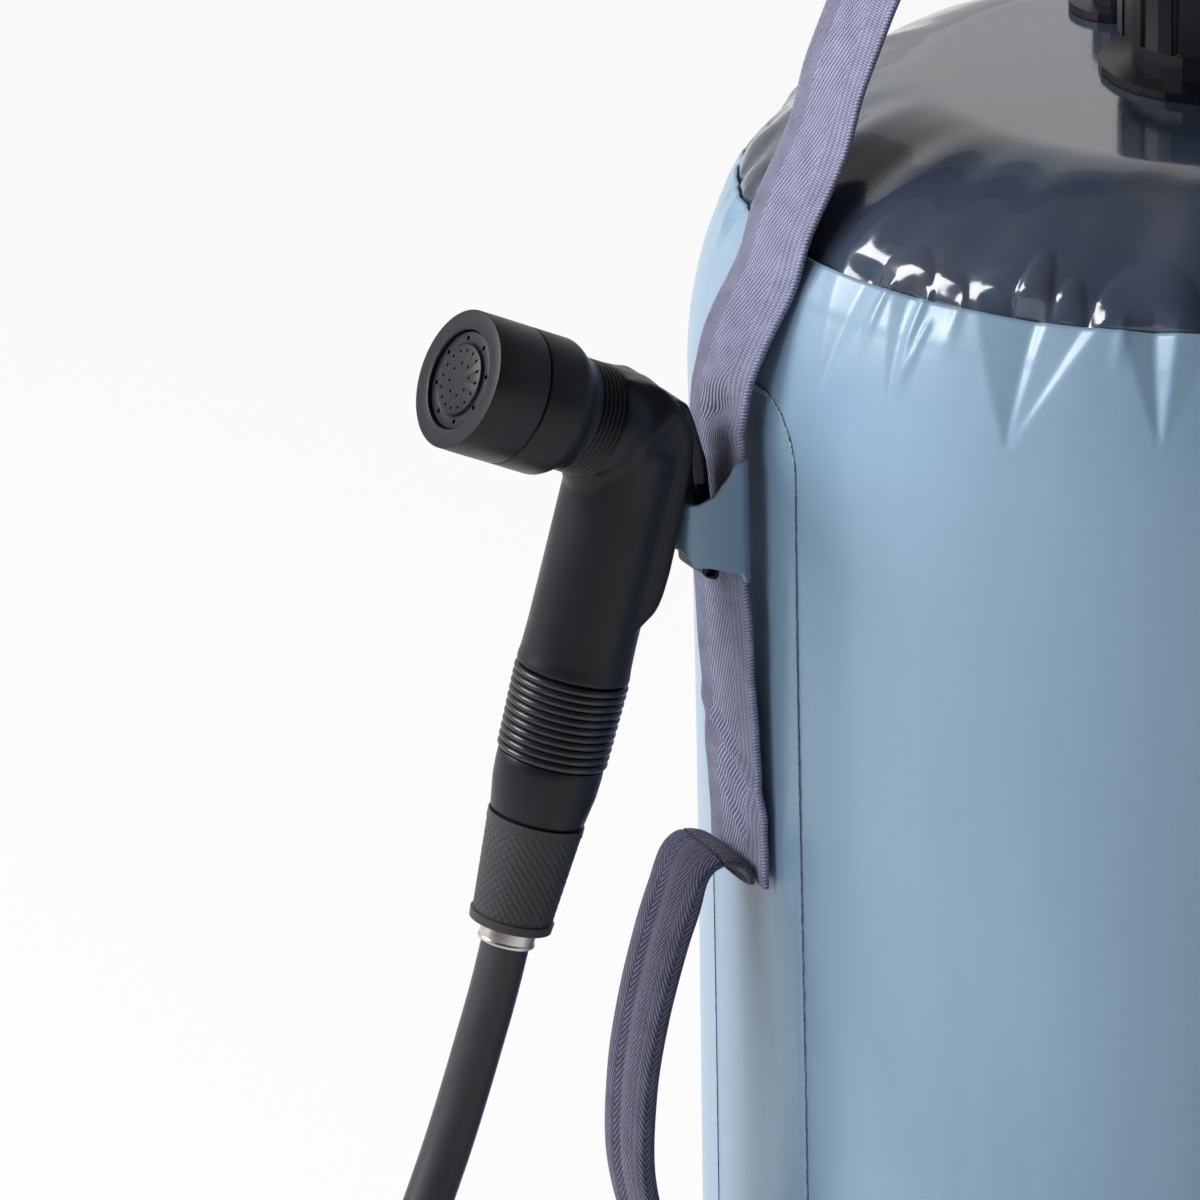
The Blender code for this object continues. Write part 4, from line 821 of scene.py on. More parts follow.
# Name, place, width, watts and whether it shows in reflections.
LAMPS = (
    ("key_lamp", (-1.50, 0.70, 1.25), 0.80, 29.0, True),
    ("soft_lamp", (-1.98, -0.16, 0.95), 1.4, 30.0, False),
    ("right_lamp", (1.9, -1.0, 1.0), 0.9, 0.5, True),
    ("back_lamp", (0.6, 1.8, 1.4), 1.2, 1.5, True),
)
LAMPS_AIM = (-0.03, 0.0, 0.24)
TOWARDS_CAMERA = (-0.4695, -0.8829, 0.0)
CAMERA_TILT = 21.17           # degrees above the horizontal
CAMERA_TURN = -28.0           # degrees round from straight in front, towards the sprayer
CAMERA_DISTANCE = 2.056
CAMERA_AIM = (-0.0361, 0, 0.2607)
METRES_PER_PIXEL = 0.00025    # at that distance
PHOTO_WIDTH = 1200
AIM_PIXEL = 1088.4            # where that place falls across the photograph
SENSOR = 36                   # millimetres


class SHOWER_OT_stage(bpy.types.Operator):
    """Adds the pale floor, the soft lamps and the camera of the photograph"""
    bl_idname = "shower.stage"
    bl_label = "Stage"

    def execute(self, context):
        scene = context.scene
        scene.camera = photograph_camera()
        scene.view_settings.view_transform = "Standard"
        scene.world = studio_world()
        floor = shown("floor", mesh_of("floor", floor_form()))
        floor.data.materials.append(floor_finish())
        for lamp_facts in LAMPS:
            lamp(*lamp_facts)
        return {"FINISHED"}


def studio_world():
    """White to the camera and through glass. Reflections find it white behind the object, and darker
    above and on the camera's side, as a studio is."""
    world = bpy.data.worlds.new("studio")
    world.use_nodes = True
    tree = world.node_tree
    background = tree.nodes["Background"]

    def node(kind, settings, sockets, out=0):
        made = tree.nodes.new("ShaderNode" + kind)
        for key, value in settings.items():
            setattr(made, key, value)
        for key, value in sockets.items():
            if isinstance(value, bpy.types.NodeSocket):
                tree.links.new(value, made.inputs[key])
            else:
                made.inputs[key].default_value = value
        return made.outputs[out]

    rays = tree.nodes.new("ShaderNodeLightPath").outputs
    way = tree.nodes.new("ShaderNodeTexCoord").outputs["Generated"]
    high = node("SeparateXYZ", {}, {0: way}, 2)
    front = node("VectorMath", {"operation": "DOT_PRODUCT"}, {0: way, 1: TOWARDS_CAMERA}, 1)
    facing = node("MapRange", {"clamp": True}, {0: front, 1: -0.15, 2: 0.55, 3: 0.62, 4: 0.13})
    lid = node("MapRange", {"clamp": True}, {0: high, 1: 0.35, 2: 0.75, 3: 1.0, 4: 0.30})
    mirrored = node("Math", {"operation": "MULTIPLY"}, {0: facing, 1: lid})
    glossy = node("MapRange", {"clamp": True}, {0: rays["Is Glossy Ray"], 3: 0.14, 4: mirrored})
    seen = node("Math", {"operation": "MAXIMUM"}, {0: rays["Is Camera Ray"], 1: rays["Is Transmission Ray"]})
    level = node("MapRange", {"clamp": True}, {0: seen, 3: glossy, 4: 1.0})
    tree.links.new(level, background.inputs["Strength"])
    background.inputs["Color"].default_value = (1.0, 1.0, 1.0, 1.0)
    return world


def floor_form():
    made = bmesh.new()
    bmesh.ops.create_grid(made, x_segments=2, y_segments=2, size=12.0)
    return made


def floor_finish():
    """A pale floor that shows white to the camera, with the object's shadow kept."""
    made = Finish("pale_floor", (0.86, 0.86, 0.87), 0.8)
    bright = made.tree.nodes.new("ShaderNodeEmission")
    bright.inputs["Strength"].default_value = 1.0
    mixed = made.tree.nodes.new("ShaderNodeMixShader")
    rays = made.tree.nodes.new("ShaderNodeLightPath")
    seen = Signal(made, rays.outputs["Is Camera Ray"]).most(Signal(made, rays.outputs["Is Glossy Ray"]))
    seen = seen.most(Signal(made, rays.outputs["Is Transmission Ray"]))
    made.tree.links.new((seen * 0.90).socket, mixed.inputs[0])
    made.tree.links.new(made.shader.outputs[0], mixed.inputs[1])
    made.tree.links.new(bright.outputs[0], mixed.inputs[2])
    made.tree.links.new(mixed.outputs[0], made.tree.nodes["Material Output"].inputs["Surface"])
    return made.material


def lamp(name, place, width, power, mirrored):
    """A square soft lamp; one that isn't mirrored leaves no highlight on glossy pieces."""
    light = bpy.data.lights.new(name, "AREA")
    light.size = width
    light.energy = power
    made = shown(name, light)
    made.visible_glossy = mirrored
    made.location = place
    made.rotation_euler = (Vector(LAMPS_AIM) - Vector(place)).to_track_quat("-Z", "Y").to_euler()


def photograph_camera():
    """The photograph's camera, fitted to the wall's outline, the top seam, the patch and the strap."""
    tilt = math.radians(CAMERA_TILT)
    pixels = CAMERA_DISTANCE / METRES_PER_PIXEL
    ahead = Vector((0, math.cos(tilt), -math.sin(tilt)))
    up = Vector((0, math.sin(tilt), math.cos(tilt)))
    right = Vector((1, 0, 0))
    place = Vector(CAMERA_AIM) - CAMERA_DISTANCE * ahead
    pan = math.atan((PHOTO_WIDTH / 2 - AIM_PIXEL) / pixels)
    look = ahead * math.cos(pan) + right * math.sin(pan)
    side = right * math.cos(pan) - ahead * math.sin(pan)
    matrix = Matrix((side, up, -look)).transposed().to_4x4()
    matrix.translation = place
    data = bpy.data.cameras.new("camera")
    data.sensor_width = SENSOR
    data.lens = SENSOR * pixels / math.cos(pan) / PHOTO_WIDTH
    made = shown("camera", data)
    made.matrix_world = rotated(CAMERA_TURN, "Z") @ matrix
    return made


# Hose

COIL_CENTRE = (-0.245, -0.165)
COIL_POINTS = 24              # to a turn
HOSE_LIES_BELOW = 0.070
# The hose's free stretches: down from the outlet to the coil, and up from the coil to the sprayer.
LOWER_ROUTE = (
    (-0.0826, -0.2151, 0.0532), (-0.1017, -0.2338, 0.0425), (-0.1256, -0.2459, 0.0290),
    (-0.1520, -0.2505, 0.0162), (-0.1787, -0.2477, 0.0078), (-0.2052, -0.2434, 0.0063),
)
UPPER_ROUTE = (
    (-0.3199, -0.1169, 0.0227), (-0.3118, -0.0864, 0.0333), (-0.2971, -0.0605, 0.0499),
    (-0.2781, -0.0391, 0.0718), (-0.2571, -0.0224, 0.0982), (-0.2364, -0.0105, 0.1283),
    (-0.2182, -0.0035, 0.1614),
)


def coil_points(hose):
    """Piled turns: inwards on the ground, up a layer where they reverse, outwards above."""
    steps = round(hose.coil_turns * COIL_POINTS)
    found = []
    for i in range(steps + 1):
        walked = i / COIL_POINTS
        inwards = min(walked, hose.coil_turns - walked)
        radius = hose.coil_outer - hose.coil_pitch * inwards
        climb = ease((walked - hose.coil_turns / 2 + 0.25) / 0.5)
        turn = math.radians(-90.0) - math.tau * walked
        height = hose.radius + GAP + hose.coil_layer * climb
        found.append(Vector((COIL_CENTRE[0] + radius * math.cos(turn),
                             COIL_CENTRE[1] + radius * math.sin(turn), height)))
    return found


def hose_route(hose):
    """From the outlet's ferrule to the coil, and from the coil up to the sprayer's ferrule."""
    outlet, out = fitting_end(outlet_place(), 0.0, hose)
    sprayer, down = fitting_end(sprayer_place(), sprayer_nut_face(), hose)
    coil = coil_points(hose)
    lead = 2.2 * hose.radius
    first = (coil[0] - coil[1]).normalized()
    last = (coil[-1] - coil[-2]).normalized()
    lower = [outlet, outlet + out * lead, *LOWER_ROUTE, coil[0] + first * lead]
    upper = [coil[-1] + last * lead, *UPPER_ROUTE, sprayer + down * lead, sprayer]
    low_part, _ = evenly(curve_through(lower), 16)
    high_part, _ = evenly(curve_through(upper), 24)
    return low_part[:-1] + coil + high_part[1:], outlet


def sprayer_nut_face():
    """Height of the stub's end in the sprayer's frame."""
    return -bpy.context.scene.shower_sprayer.nut_start - NUT_CUP + 3 * GAP + TAIL_FLANGE + RUBBER_WASHER


def fitting_heights(face, hose):
    """Top of a fitting's nut and lower end of its ferrule, from the face that the washer seals on."""
    top = face - 3 * GAP - RUBBER_WASHER - TAIL_FLANGE + NUT_CUP
    return top, top - hose.nut_length - FERRULE_SHOWS


def fitting_end(place, face, hose):
    """The lower end of a fitting's ferrule, and the way the hose leaves it."""
    low = fitting_heights(face, hose)[1]
    return place @ Vector((0.0, 0.0, low)), -(place.to_3x3() @ Vector((0.0, 0.0, 1.0))).normalized()


class SHOWER_OT_hose(bpy.types.Operator):
    """Lays the hose from the outlet, through its coil, up to the sprayer"""
    bl_idname = "shower.hose"
    bl_label = "Hose"

    def execute(self, context):
        hose = context.scene.shower_hose
        points, start = hose_route(hose)
        line = bpy.data.curves.new("hose", "CURVE")
        line.dimensions = "3D"
        line.bevel_depth = hose.radius
        line.bevel_resolution = 8
        line.use_fill_caps = True
        line.resolution_u = 5
        run = line.splines.new("BEZIER")
        run.bezier_points.add(len(points) - 1)
        for knot, place in zip(run.bezier_points, points):
            knot.co = place
            knot.handle_left_type = knot.handle_right_type = "AUTO"
        made = piece("hose", finished(shown("holder", line)), "hose", None,
                     "hose_upper", "hose_coil", "hose_lower")
        foot, tip = points[-1].copy(), points[-1].copy()
        foot.z, tip.z = HOSE_LIES_BELOW, points[-1].z - 2 * hose.radius
        tuple(foot)
        tuple(tip)
        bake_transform(made)
        length = sum((q - p).length for p, q in zip(points, points[1:]))
        tuple(start)
        [tuple(p) for p in points]
        return {"FINISHED"}


# Bag

SKIRT = 0.0095                          # width of the top panel that is welded inside the wall
CROWN_RINGS = (0.0225, 0.045, 0.062)    # radii across the crown's flat, from the fill neck's bore
BAG_MIDDLE = 0.25                       # height


class SHOWER_OT_wall(bpy.types.Operator):
    """Makes the wall with its gathers at the seam, and the base panel"""
    bl_idname = "shower.wall"
    bl_label = "Wall and base"

    def execute(self, context):
        bag = context.scene.shower_bag
        skin = Skin(bag)
        length = skin.length()
        fine = 0.052 / length

        def rows(v):
            """Closer rows near the seam, where the gathers are."""
            return v * 2.0 * (1.0 - fine) if v < 0.5 else (1.0 - fine) + (v - 0.5) * 2.0 * fine

        made = sheet(480, 94, lambda u, v: skin.point(closer(u), rows(v) * length),
                     (lambda u: math.radians(closer(u)) * bag.radius, length), away=(0.0, 0.0, 0.2))
        spout = [f for f in made.faces if off_outlet(f.calc_center_median()) < OUTLET_HOLE]
        bmesh.ops.delete(made, geom=spout, context="FACES")
        wall = piece("wall", made, "fabric", "bag", "bag_wall", sharp=60.0)
        thicken(wall, bag.skin)
        piece("base", turned(base_profile(bag), 144), "fabric", "bag", "bottom_panel")
        return {"FINISHED"}


def off_outlet(point):
    """Distance from the outlet's middle line."""
    turn = math.radians(OUTLET_BEARING)
    out = Vector((math.cos(turn), math.sin(turn), 0.0))
    flat = point - Vector((0.0, 0.0, OUTLET_HEIGHT))
    if flat.dot(out) < 0:
        return 1.0
    return (flat - out * flat.dot(out)).length


def base_profile(bag):
    """Outer and inner faces of the base panel, from the middle out and back."""
    outer = bag.radius - bag.skin - GAP
    corner = outer - bag.base_flat
    top = bag.base_lap + bag.lap
    low, high = [], []
    for i in range(13):
        turn = math.radians(90.0) * i / 12
        low.append((bag.base_flat + corner * math.sin(turn), corner - corner * math.cos(turn)))
        high.append((bag.base_flat + (corner - bag.skin) * math.sin(turn),
                     corner - (corner - bag.skin) * math.cos(turn)))
    return [(0.0, 0.0), *low, (outer, top), (outer - bag.skin, top), *high[::-1], (0.0, bag.skin)]


class SHOWER_OT_crown(bpy.types.Operator):
    """Makes the glossy top panel, gathered where it is welded inside the wall"""
    bl_idname = "shower.crown"
    bl_label = "Top panel"

    def execute(self, context):
        bag = context.scene.shower_bag
        skin = Skin(bag)
        line, length = evenly(crown_line(bag, skin), 120)

        def rows(v):
            """Closer rows near the seam."""
            return v * 2.2 * 0.60 if v < 1 / 2.2 else 0.60 + (v - 1 / 2.2) * 2.2 / 1.2 * 0.40

        def place(u, v):
            bearing, v = closer(u), rows(v)
            at = v * 120
            i = min(119, int(at))
            spot = line[i].lerp(line[i + 1], at - i)
            before, after = line[max(0, i - 1)], line[min(120, i + 2)]
            way = (after - before).normalized()
            normal = Vector((-way.y, way.x))
            above = (1.0 - v) * length - SKIRT
            out = skin.gather(bearing, -above) * (1.0 - ease(above / 0.007))
            out += skin.swell(bearing, spot.y) * (1.0 - ease(above / 0.02)) + crown_folds(bearing, above)
            out += skin.puff(bearing, above)
            turn = math.radians(bearing)
            radius = spot.x + normal.x * out
            return Vector((radius * math.cos(turn), radius * math.sin(turn), spot.y + normal.y * out))

        chart = (lambda u: math.radians(closer(u)) * bag.seam_radius, length)
        made = sheet(520, 88, place, chart, away=(0.0, 0.0, 0.3))
        hole = [f for f in made.faces if air_distance(f.calc_center_median()) < AIR_VALVE_HOLE]
        bmesh.ops.delete(made, geom=hole, context="FACES")
        thicken(piece("crown_panel", made, "crown", "bag", "top_panel", sharp=60.0), bag.skin)
        return {"FINISHED"}


def air_distance(point):
    """Distance from the air valve's middle line."""
    return math.hypot(point.x, point.y - AIR_VALVE_OUT)


def crown_line(bag, skin):
    """The top panel's outer line, as (radius, height), from the fill neck out to the seam and down
    inside the wall."""
    def shoulder(offset, along):
        radius = bag.radius - bag.shoulder_radius + (bag.shoulder_radius + offset) * math.cos(along)
        return Vector((radius, bag.shoulder_start + (bag.shoulder_radius + offset) * math.sin(along)))

    inside = -bag.skin - GAP
    start = shoulder(inside, skin.turn)
    lead = (bag.crown_height - start.y) * 0.62
    steer = Vector((start.x - math.sin(skin.turn) * lead, start.y + math.cos(skin.turn) * lead))
    flat = Vector((bag.crown_flat, bag.crown_height))
    over = Vector((bag.crown_flat + lead, bag.crown_height))
    line = [Vector((radius, bag.crown_height)) for radius in CROWN_RINGS]
    for i in range(25):
        t = i / 24
        s = 1.0 - t
        line.append(s ** 3 * flat + 3 * s * s * t * over + 3 * s * t * t * steer + t ** 3 * start)
    for i in range(1, 7):
        line.append(shoulder(inside, skin.turn - SKIRT / bag.shoulder_radius * i / 6))
    return line


def crown_folds(bearing, above):
    """Broad soft folds of the top panel that start at the seam and fade towards the crown."""
    turn = math.radians(bearing)
    fade = ease(above / 0.008) * (1.0 - ease((above - 0.02) / 0.035))
    narrow = 0.0005 * math.sin(29 * turn + 2.0) * math.sin(5 * turn)
    return fade * (0.0006 * math.sin(17 * turn + 0.6) + narrow)


class SHOWER_OT_patches(bpy.types.Operator):
    """Welds a patch on each side of the wall, under the webbing"""
    bl_idname = "shower.patches"
    bl_label = "Side patches"

    def execute(self, context):
        bag = context.scene.shower_bag
        skin = Skin(bag)
        straight = bag.shoulder_start - bag.base_lap
        lean = math.asin((bag.patch_top - bag.shoulder_start) / bag.shoulder_radius)
        top = straight + bag.shoulder_radius * lean
        low = bag.patch_bottom - bag.base_lap
        for side, bearing in (("left", 180.0), ("right", 0.0)):
            name = "patch_" + side

            def place(u, v, bearing=bearing):
                along = low + (top - low) * rounded_share(v, bag.patch_corner, top - low)
                edge = min(along - low, top - along)
                half = bag.patch_half
                if edge < bag.patch_corner:
                    reach = bag.patch_corner ** 2 - (bag.patch_corner - edge) ** 2
                    half += math.sqrt(max(0.0, reach)) - bag.patch_corner
                half += 0.00010 * math.sin(along * 4100) + 0.00009 * math.sin(along * 6700 + 1.0)
                across = (2 * u - 1) * half
                rim = min(half - abs(across), edge)
                out = 0.00028 - bag.patch_skin * 0.5 + weld_dip(rim)
                return skin.point(bearing + math.degrees(across / bag.radius), along, out)

            made = sheet(64, 220, place, (2 * bag.patch_half, top - low), away=(0.0, 0.0, 0.2))
            thicken(piece(name, made, "patch", "bag", "side_" + name), bag.patch_skin, 0.0)
            route, length = evenly(rounded_frame(bag.patch_half, low, top, bag.patch_corner), 900)

            def edge(u, v, bearing=bearing, route=route):
                i = round(v * 900) % 900
                way = (route[i + 1] - route[i]).normalized()
                wide = 0.00013 + 0.00007 * math.sin(i * 0.9) * math.sin(i * 0.23 + 1.0)
                off = (2 * u - 1) * wide + 0.00006 * math.sin(i * 0.61)
                spot = route[i] + Vector((way.y, -way.x)) * off
                return skin.point(bearing + math.degrees(spot.x / bag.radius), spot.y, 0.00046)

            line = sheet(2, 900, edge, (0.0004, length), away=(0.0, 0.0, 0.2))
            thicken(piece(name + "_weld", line, "weld", "bag"), 0.0002)
        return {"FINISHED"}


def rounded_frame(half, low, top, corner):
    """A closed rectangle with round corners, as (across, along)."""
    found = []
    for x, y, first in ((half - corner, low + corner, -90.0), (half - corner, top - corner, 0.0),
                        (corner - half, top - corner, 90.0), (corner - half, low + corner, 180.0)):
        for i in range(13):
            turn = math.radians(first + 90.0 * i / 12)
            found.append(Vector((x + corner * math.cos(turn), y + corner * math.sin(turn))))
    return found + [found[0].copy()]


def rounded_share(v, corner, length):
    """Rows that lie closer at both ends, so that the corners are round."""
    ends = 0.12
    share_of = corner / length
    if v < ends:
        return share_of * (1.0 - math.cos(math.radians(90.0) * v / ends))
    if v > 1.0 - ends:
        return 1.0 - share_of * (1.0 - math.cos(math.radians(90.0) * (1.0 - v) / ends))
    return share_of + (1.0 - 2 * share_of) * (v - ends) / (1.0 - 2 * ends)


def weld_dip(rim):
    """The pressed line just inside a welded edge."""
    return -0.00010 * bell(rim - 0.0016, 0.0005)


# Webbing

LOOP_PINCH = 0.93    # the strap's width inside the loop, as a share of the whole
# The handle's middle line, as shares of its reach and of the drop between its ends.
HANDLE_SHARES = (
    (0.0, 0.0), (0.0, 0.016), (0.100, 0.040), (0.295, 0.048), (0.440, 0.026), (0.545, -0.033),
    (0.680, -0.109), (0.860, -0.240), (0.980, -0.380), (1.0, -0.545), (0.790, -0.705), (0.350, -0.815),
)
# The loop's upper and lower edges: share of its depth, then share of its height.
LOOP_TOP_SHARES = ((-0.30, 1.0), (0.211, 0.952), (0.411, 0.81), (0.588, 0.71), (0.835, 0.66), (1.2, 0.64))
LOOP_LOW_SHARES = (
    (-0.30, -0.05), (0.10, -0.04), (0.175, 0.04), (0.706, 0.14), (0.882, 0.15), (0.976, 0.26), (1.2, 0.30),
)


def strap_line(bag, web):
    """Middle line of the carry strap from the left anchor to the right one, as (x, z)."""
    sewn = bag.radius + 2 * GAP + bag.patch_skin + web.thickness / 2
    stood = bag.radius + web.stand_off
    rise = web.apex - bag.crown_height
    seam_height = Skin(bag).seam_height
    side = [
        (sewn, web.anchor), (sewn + (stood - sewn) * 0.05, web.anchor + web.tack * 0.75),
        (sewn + (stood - sewn) * 0.28, web.anchor + web.tack * 1.7),
        (sewn + (stood - sewn) * 0.56, web.anchor + web.tack * 2.8),
        (sewn + (stood - sewn) * 0.85, web.anchor + web.tack * 4.0), (stood, web.anchor + web.tack * 5.2),
        (stood, bag.shoulder_start), (stood, bag.shoulder_start + bag.lap),
        (stood - web.stand_off * 0.5, bag.shoulder_start + bag.lap * 2.4),
        (stood - web.stand_off * 2.0, bag.shoulder_start + bag.lap * 4.25),
        (bag.seam_radius + web.thickness, seam_height + bag.lap * 0.55),
    ]
    a = (bag.seam_radius * 0.93, bag.crown_height - bag.lap * 0.05)
    b = (bag.seam_radius * 0.78, bag.crown_height + rise * 0.62)
    c = (bag.seam_radius * 0.42, web.apex)
    for i in range(13):
        t = i / 12
        s = 1.0 - t
        side.append(tuple(s ** 3 * p + 3 * s * s * t * q + 3 * s * t * t * r + t ** 3 * w
                          for p, q, r, w in zip(a, b, c, (0.0, web.apex))))
    return [(-x, z) for x, z in side] + [(x, z) for x, z in side[-2::-1]]


def swept(line, section, columns, rows, length, away, wrap):
    """A strip along a line in the X-Z plane. section(u, along, spot) gives how far a point of it is
    sideways and out from the line."""
    def place(u, v):
        at = v * rows
        i = min(rows - 1, int(at))
        spot = line[i].lerp(line[i + 1], at - i)
        way = (line[min(rows, i + 2)] - line[max(0, i - 1)]).normalized()
        outwards = (-way.y) * spot.x + way.x * (spot.y - BAG_MIDDLE) > 0
        normal = Vector((-way.y, way.x)) if outwards else Vector((way.y, -way.x))
        sideways, out = section(u, v * length, spot)
        return Vector((spot.x + normal.x * out, sideways, spot.y + normal.y * out))
    return sheet(columns, rows, place, wrap, away=away)


class SHOWER_OT_strap(bpy.types.Operator):
    """Makes the woven carry strap, creased above the loop and at its sewn ends"""
    bl_idname = "shower.strap"
    bl_label = "Carry strap"

    def execute(self, context):
        bag, web = context.scene.shower_bag, context.scene.shower_webbing
        rows = 620
        line, length = evenly(curve_through(strap_line(bag, web)), rows)

        def section(u, along, spot):
            side = 2 * u - 1
            half = web.width / 2
            z = spot.y
            half *= 1.0 - (1.0 - LOOP_PINCH) * (ease((z - 0.286) / 0.012) - ease((z - 0.340) / 0.014))
            half *= 1.0 - 0.03 * bell(z - 0.262, 0.020)
            edge = 0.0002 * bell(abs(side) - 0.955, 0.03)
            cup = -0.0005 * side * side * ease((z - 0.245) / 0.02) * (1.0 - ease((z - 0.38) / 0.06))
            out = edge + cup + 0.00016 * math.sin(along * 210 + 3 * side) * ease((z - 0.25) / 0.02)
            hand, deep = (1.0, 1.0) if spot.x < 0 else (-1.0, 0.8)
            return side * half, out + strap_creases(hand * side * half, z) * deep

        made = swept(line, section, 34, rows, length, (0.0, 0.0, 0.2), (web.width, length))
        thicken(piece("strap", made, "strap", "bag", "carry_strap", sharp=70.0), web.thickness * 0.8, 0.0)
        return {"FINISHED"}


def strap_creases(y, z):
    """The strap's creases at a height: a crumple above the loop, then a slanted fold and a pinch where
    it is sewn."""
    out = -0.0021 * bell(z - 0.3350 + y * 0.40, 0.0030) * bell(y + 0.001, 0.0065)
    out += 0.0011 * bell(z - 0.3430 + y * 0.30, 0.0028) * bell(y - 0.003, 0.009)
    out += 0.0009 * bell(z - 0.3300 + y * 0.20, 0.0024) * bell(y + 0.006, 0.006)
    whole = ease((0.015 - abs(y)) / 0.006 + 0.3)
    ridge, dent = bell((z - 0.2490) - y * 0.55, 0.0026), bell((z - 0.2425) - y * 0.60, 0.0026)
    out += whole * (0.0013 * ridge - 0.0013 * dent)
    out += 0.0010 * bell(z - 0.2300 - y * 0.9, 0.0022) * bell(y, 0.010)
    return out


class SHOWER_OT_handles(bpy.types.Operator):
    """Makes the two side handles of folded webbing"""
    bl_idname = "shower.handles"
    bl_label = "Side handles"

    def execute(self, context):
        bag, web = context.scene.shower_bag, context.scene.shower_webbing
        face = bag.radius + GAP + bag.patch_skin
        sewn = face + 2 * GAP + web.thickness + web.handle_end / 2
        foot = face + GAP + web.handle_end / 2
        start = web.anchor + 2 * GAP
        drop = start - web.handle_foot
        points = [(sewn + web.handle_reach * out, start + drop * up) for out, up in HANDLE_SHARES]
        points += [(foot, web.handle_foot + web.handle_tack), (foot, web.handle_foot)]
        rows = 190
        for name, side in (("handle_left", -1.0), ("handle_right", 1.0)):
            line, length = evenly(curve_through([(side * x, z) for x, z in points]), rows)

            def section(u, along, spot, side=side, length=length):
                turn = math.tau * u
                ends = min(along, length - along)
                body = ease((ends - 0.006) / 0.024)
                thick = web.handle_end + (web.handle_thickness - web.handle_end) * body
                across = math.copysign(abs(math.cos(turn)) ** 0.62, math.cos(turn))
                up = math.copysign(abs(math.sin(turn)) ** 0.62, math.sin(turn))
                half = web.handle_width / 2
                out = up * thick / 2
                groove = bell(across * half + 0.0024 * side, 0.0026)
                out -= math.copysign(0.0017 * body * groove, up) if abs(up) > 0.4 else 0.0
                pull = 1.0 - 0.06 * body * math.sin(math.pi * along / length) ** 2
                return across * half * pull, out

            ring = [Vector(section(i / 72, length / 2, None)) for i in range(73)]
            run = [0.0]
            for p, q in zip(ring, ring[1:]):
                run.append(run[-1] + (q - p).length)
            chart = (lambda u, run=run: run[round(u * 72)], length)
            made = swept(line, section, 72, rows, length, None, chart)
            bmesh.ops.holes_fill(made, edges=[e for e in made.edges if e.is_boundary], sides=0)
            bmesh.ops.recalc_face_normals(made, faces=made.faces)
            piece(name, made, "handle", "bag", "side_" + name, sharp=60.0)
        return {"FINISHED"}


class SHOWER_OT_loop(bpy.types.Operator):
    """Makes the fabric loop that the sprayer's lever hangs in"""
    bl_idname = "shower.loop"
    bl_label = "Nozzle loop"

    def execute(self, context):
        bag, web = context.scene.shower_bag, context.scene.shower_webbing
        back = bag.radius + web.stand_off - web.thickness / 2 - GAP - web.loop_skin
        half = web.width * LOOP_PINCH / 2 + GAP + web.loop_skin
        bend = web.loop_corner
        plan = []
        for i in range(161):
            turn = math.pi * i / 160
            across = math.copysign(abs(math.cos(turn)) ** web.loop_square, math.cos(turn))
            out = max(web.loop_reach * math.sin(turn) ** web.loop_square, bend)
            plan.append(Vector((-back - out, half * across)))
        for i in range(1, 13):
            turn = math.radians(90.0) * i / 12
            plan.append(Vector((-back - bend + bend * math.sin(turn), -half + bend - bend * math.cos(turn))))
        plan += [Vector((p.x, -p.y)) for p in plan[:-13:-1]] + [plan[0].copy()]
        plan, length = evenly(plan, 240)
        low = web.loop_top - web.loop_height

        def place(u, v):
            at = min(239, int(u * 240))
            spot = plan[at].lerp(plan[at + 1], u * 240 - at)
            out = (-spot.x - back) / web.loop_reach
            top = low + web.loop_height * along_shares(LOOP_TOP_SHARES, out)
            bottom = low + web.loop_height * along_shares(LOOP_LOW_SHARES, out)
            z = bottom + (top - bottom) * v
            wave = 0.0002 * math.sin(spot.y * 300 + v * 5)
            return Vector((spot.x + wave * min(1.0, out * 2), spot.y, z))

        made = sheet(240, 30, place, (length, web.loop_height), away=(-back - web.loop_reach / 2, 0.0, 0.31))
        thicken(piece("loop", made, "loop", "bag", "nozzle_loop", sharp=50.0), web.loop_skin)
        return {"FINISHED"}


def along_shares(table, at):
    """A value between the points of a table."""
    for (x0, y0), (x1, y1) in zip(table, table[1:]):
        if at <= x1:
            rise, past, span = y1 - y0, at - x0, x1 - x0
            return y0 + rise * ease(past / span) * 0.4 + rise * past / span * 0.6
    return table[-1][1]


# Sprayer

CAP_WALL = 0.0022
GRIP_TOP = 0.0141         # radius of the grip sleeve's first rib
GRIP_FALL = 0.0005        # how much less its last rib's is
GRIP_RIB = 0.00085        # depth between its ribs
GRIP_BORE = 0.0119
GRIP_END = 0.0130
NECK_CORE = 0.0128
NECK_BACK, NECK_FRONT = -0.0075, 0.0145
# The neck is cut by a slope behind, in the sprayer's frame.
NECK_SLOPE_AT, NECK_SLOPE_WAY = (0.0, 0.0, 0.0145), (-0.566, 0.0, 0.824)
TAPER_CORE = 0.0112
STUB_RADIUS = 0.0092
HEAD_INSET = 0.0014       # the lever's head lies that far inside the hump's cheeks
PLATE_RADIUS = 0.0142
PLATE_THICKNESS = 0.0026
PLATE_SINK = 0.0009       # from the cap's face to the jet plate's outer ring
JET_DEPTH = 0.0018
# Rings of jets: how many, their radius and the ring's radius.
JETS = ((8, 0.00060, 0.0101), (16, 0.00040, 0.0070), (8, 0.00040, 0.0039))

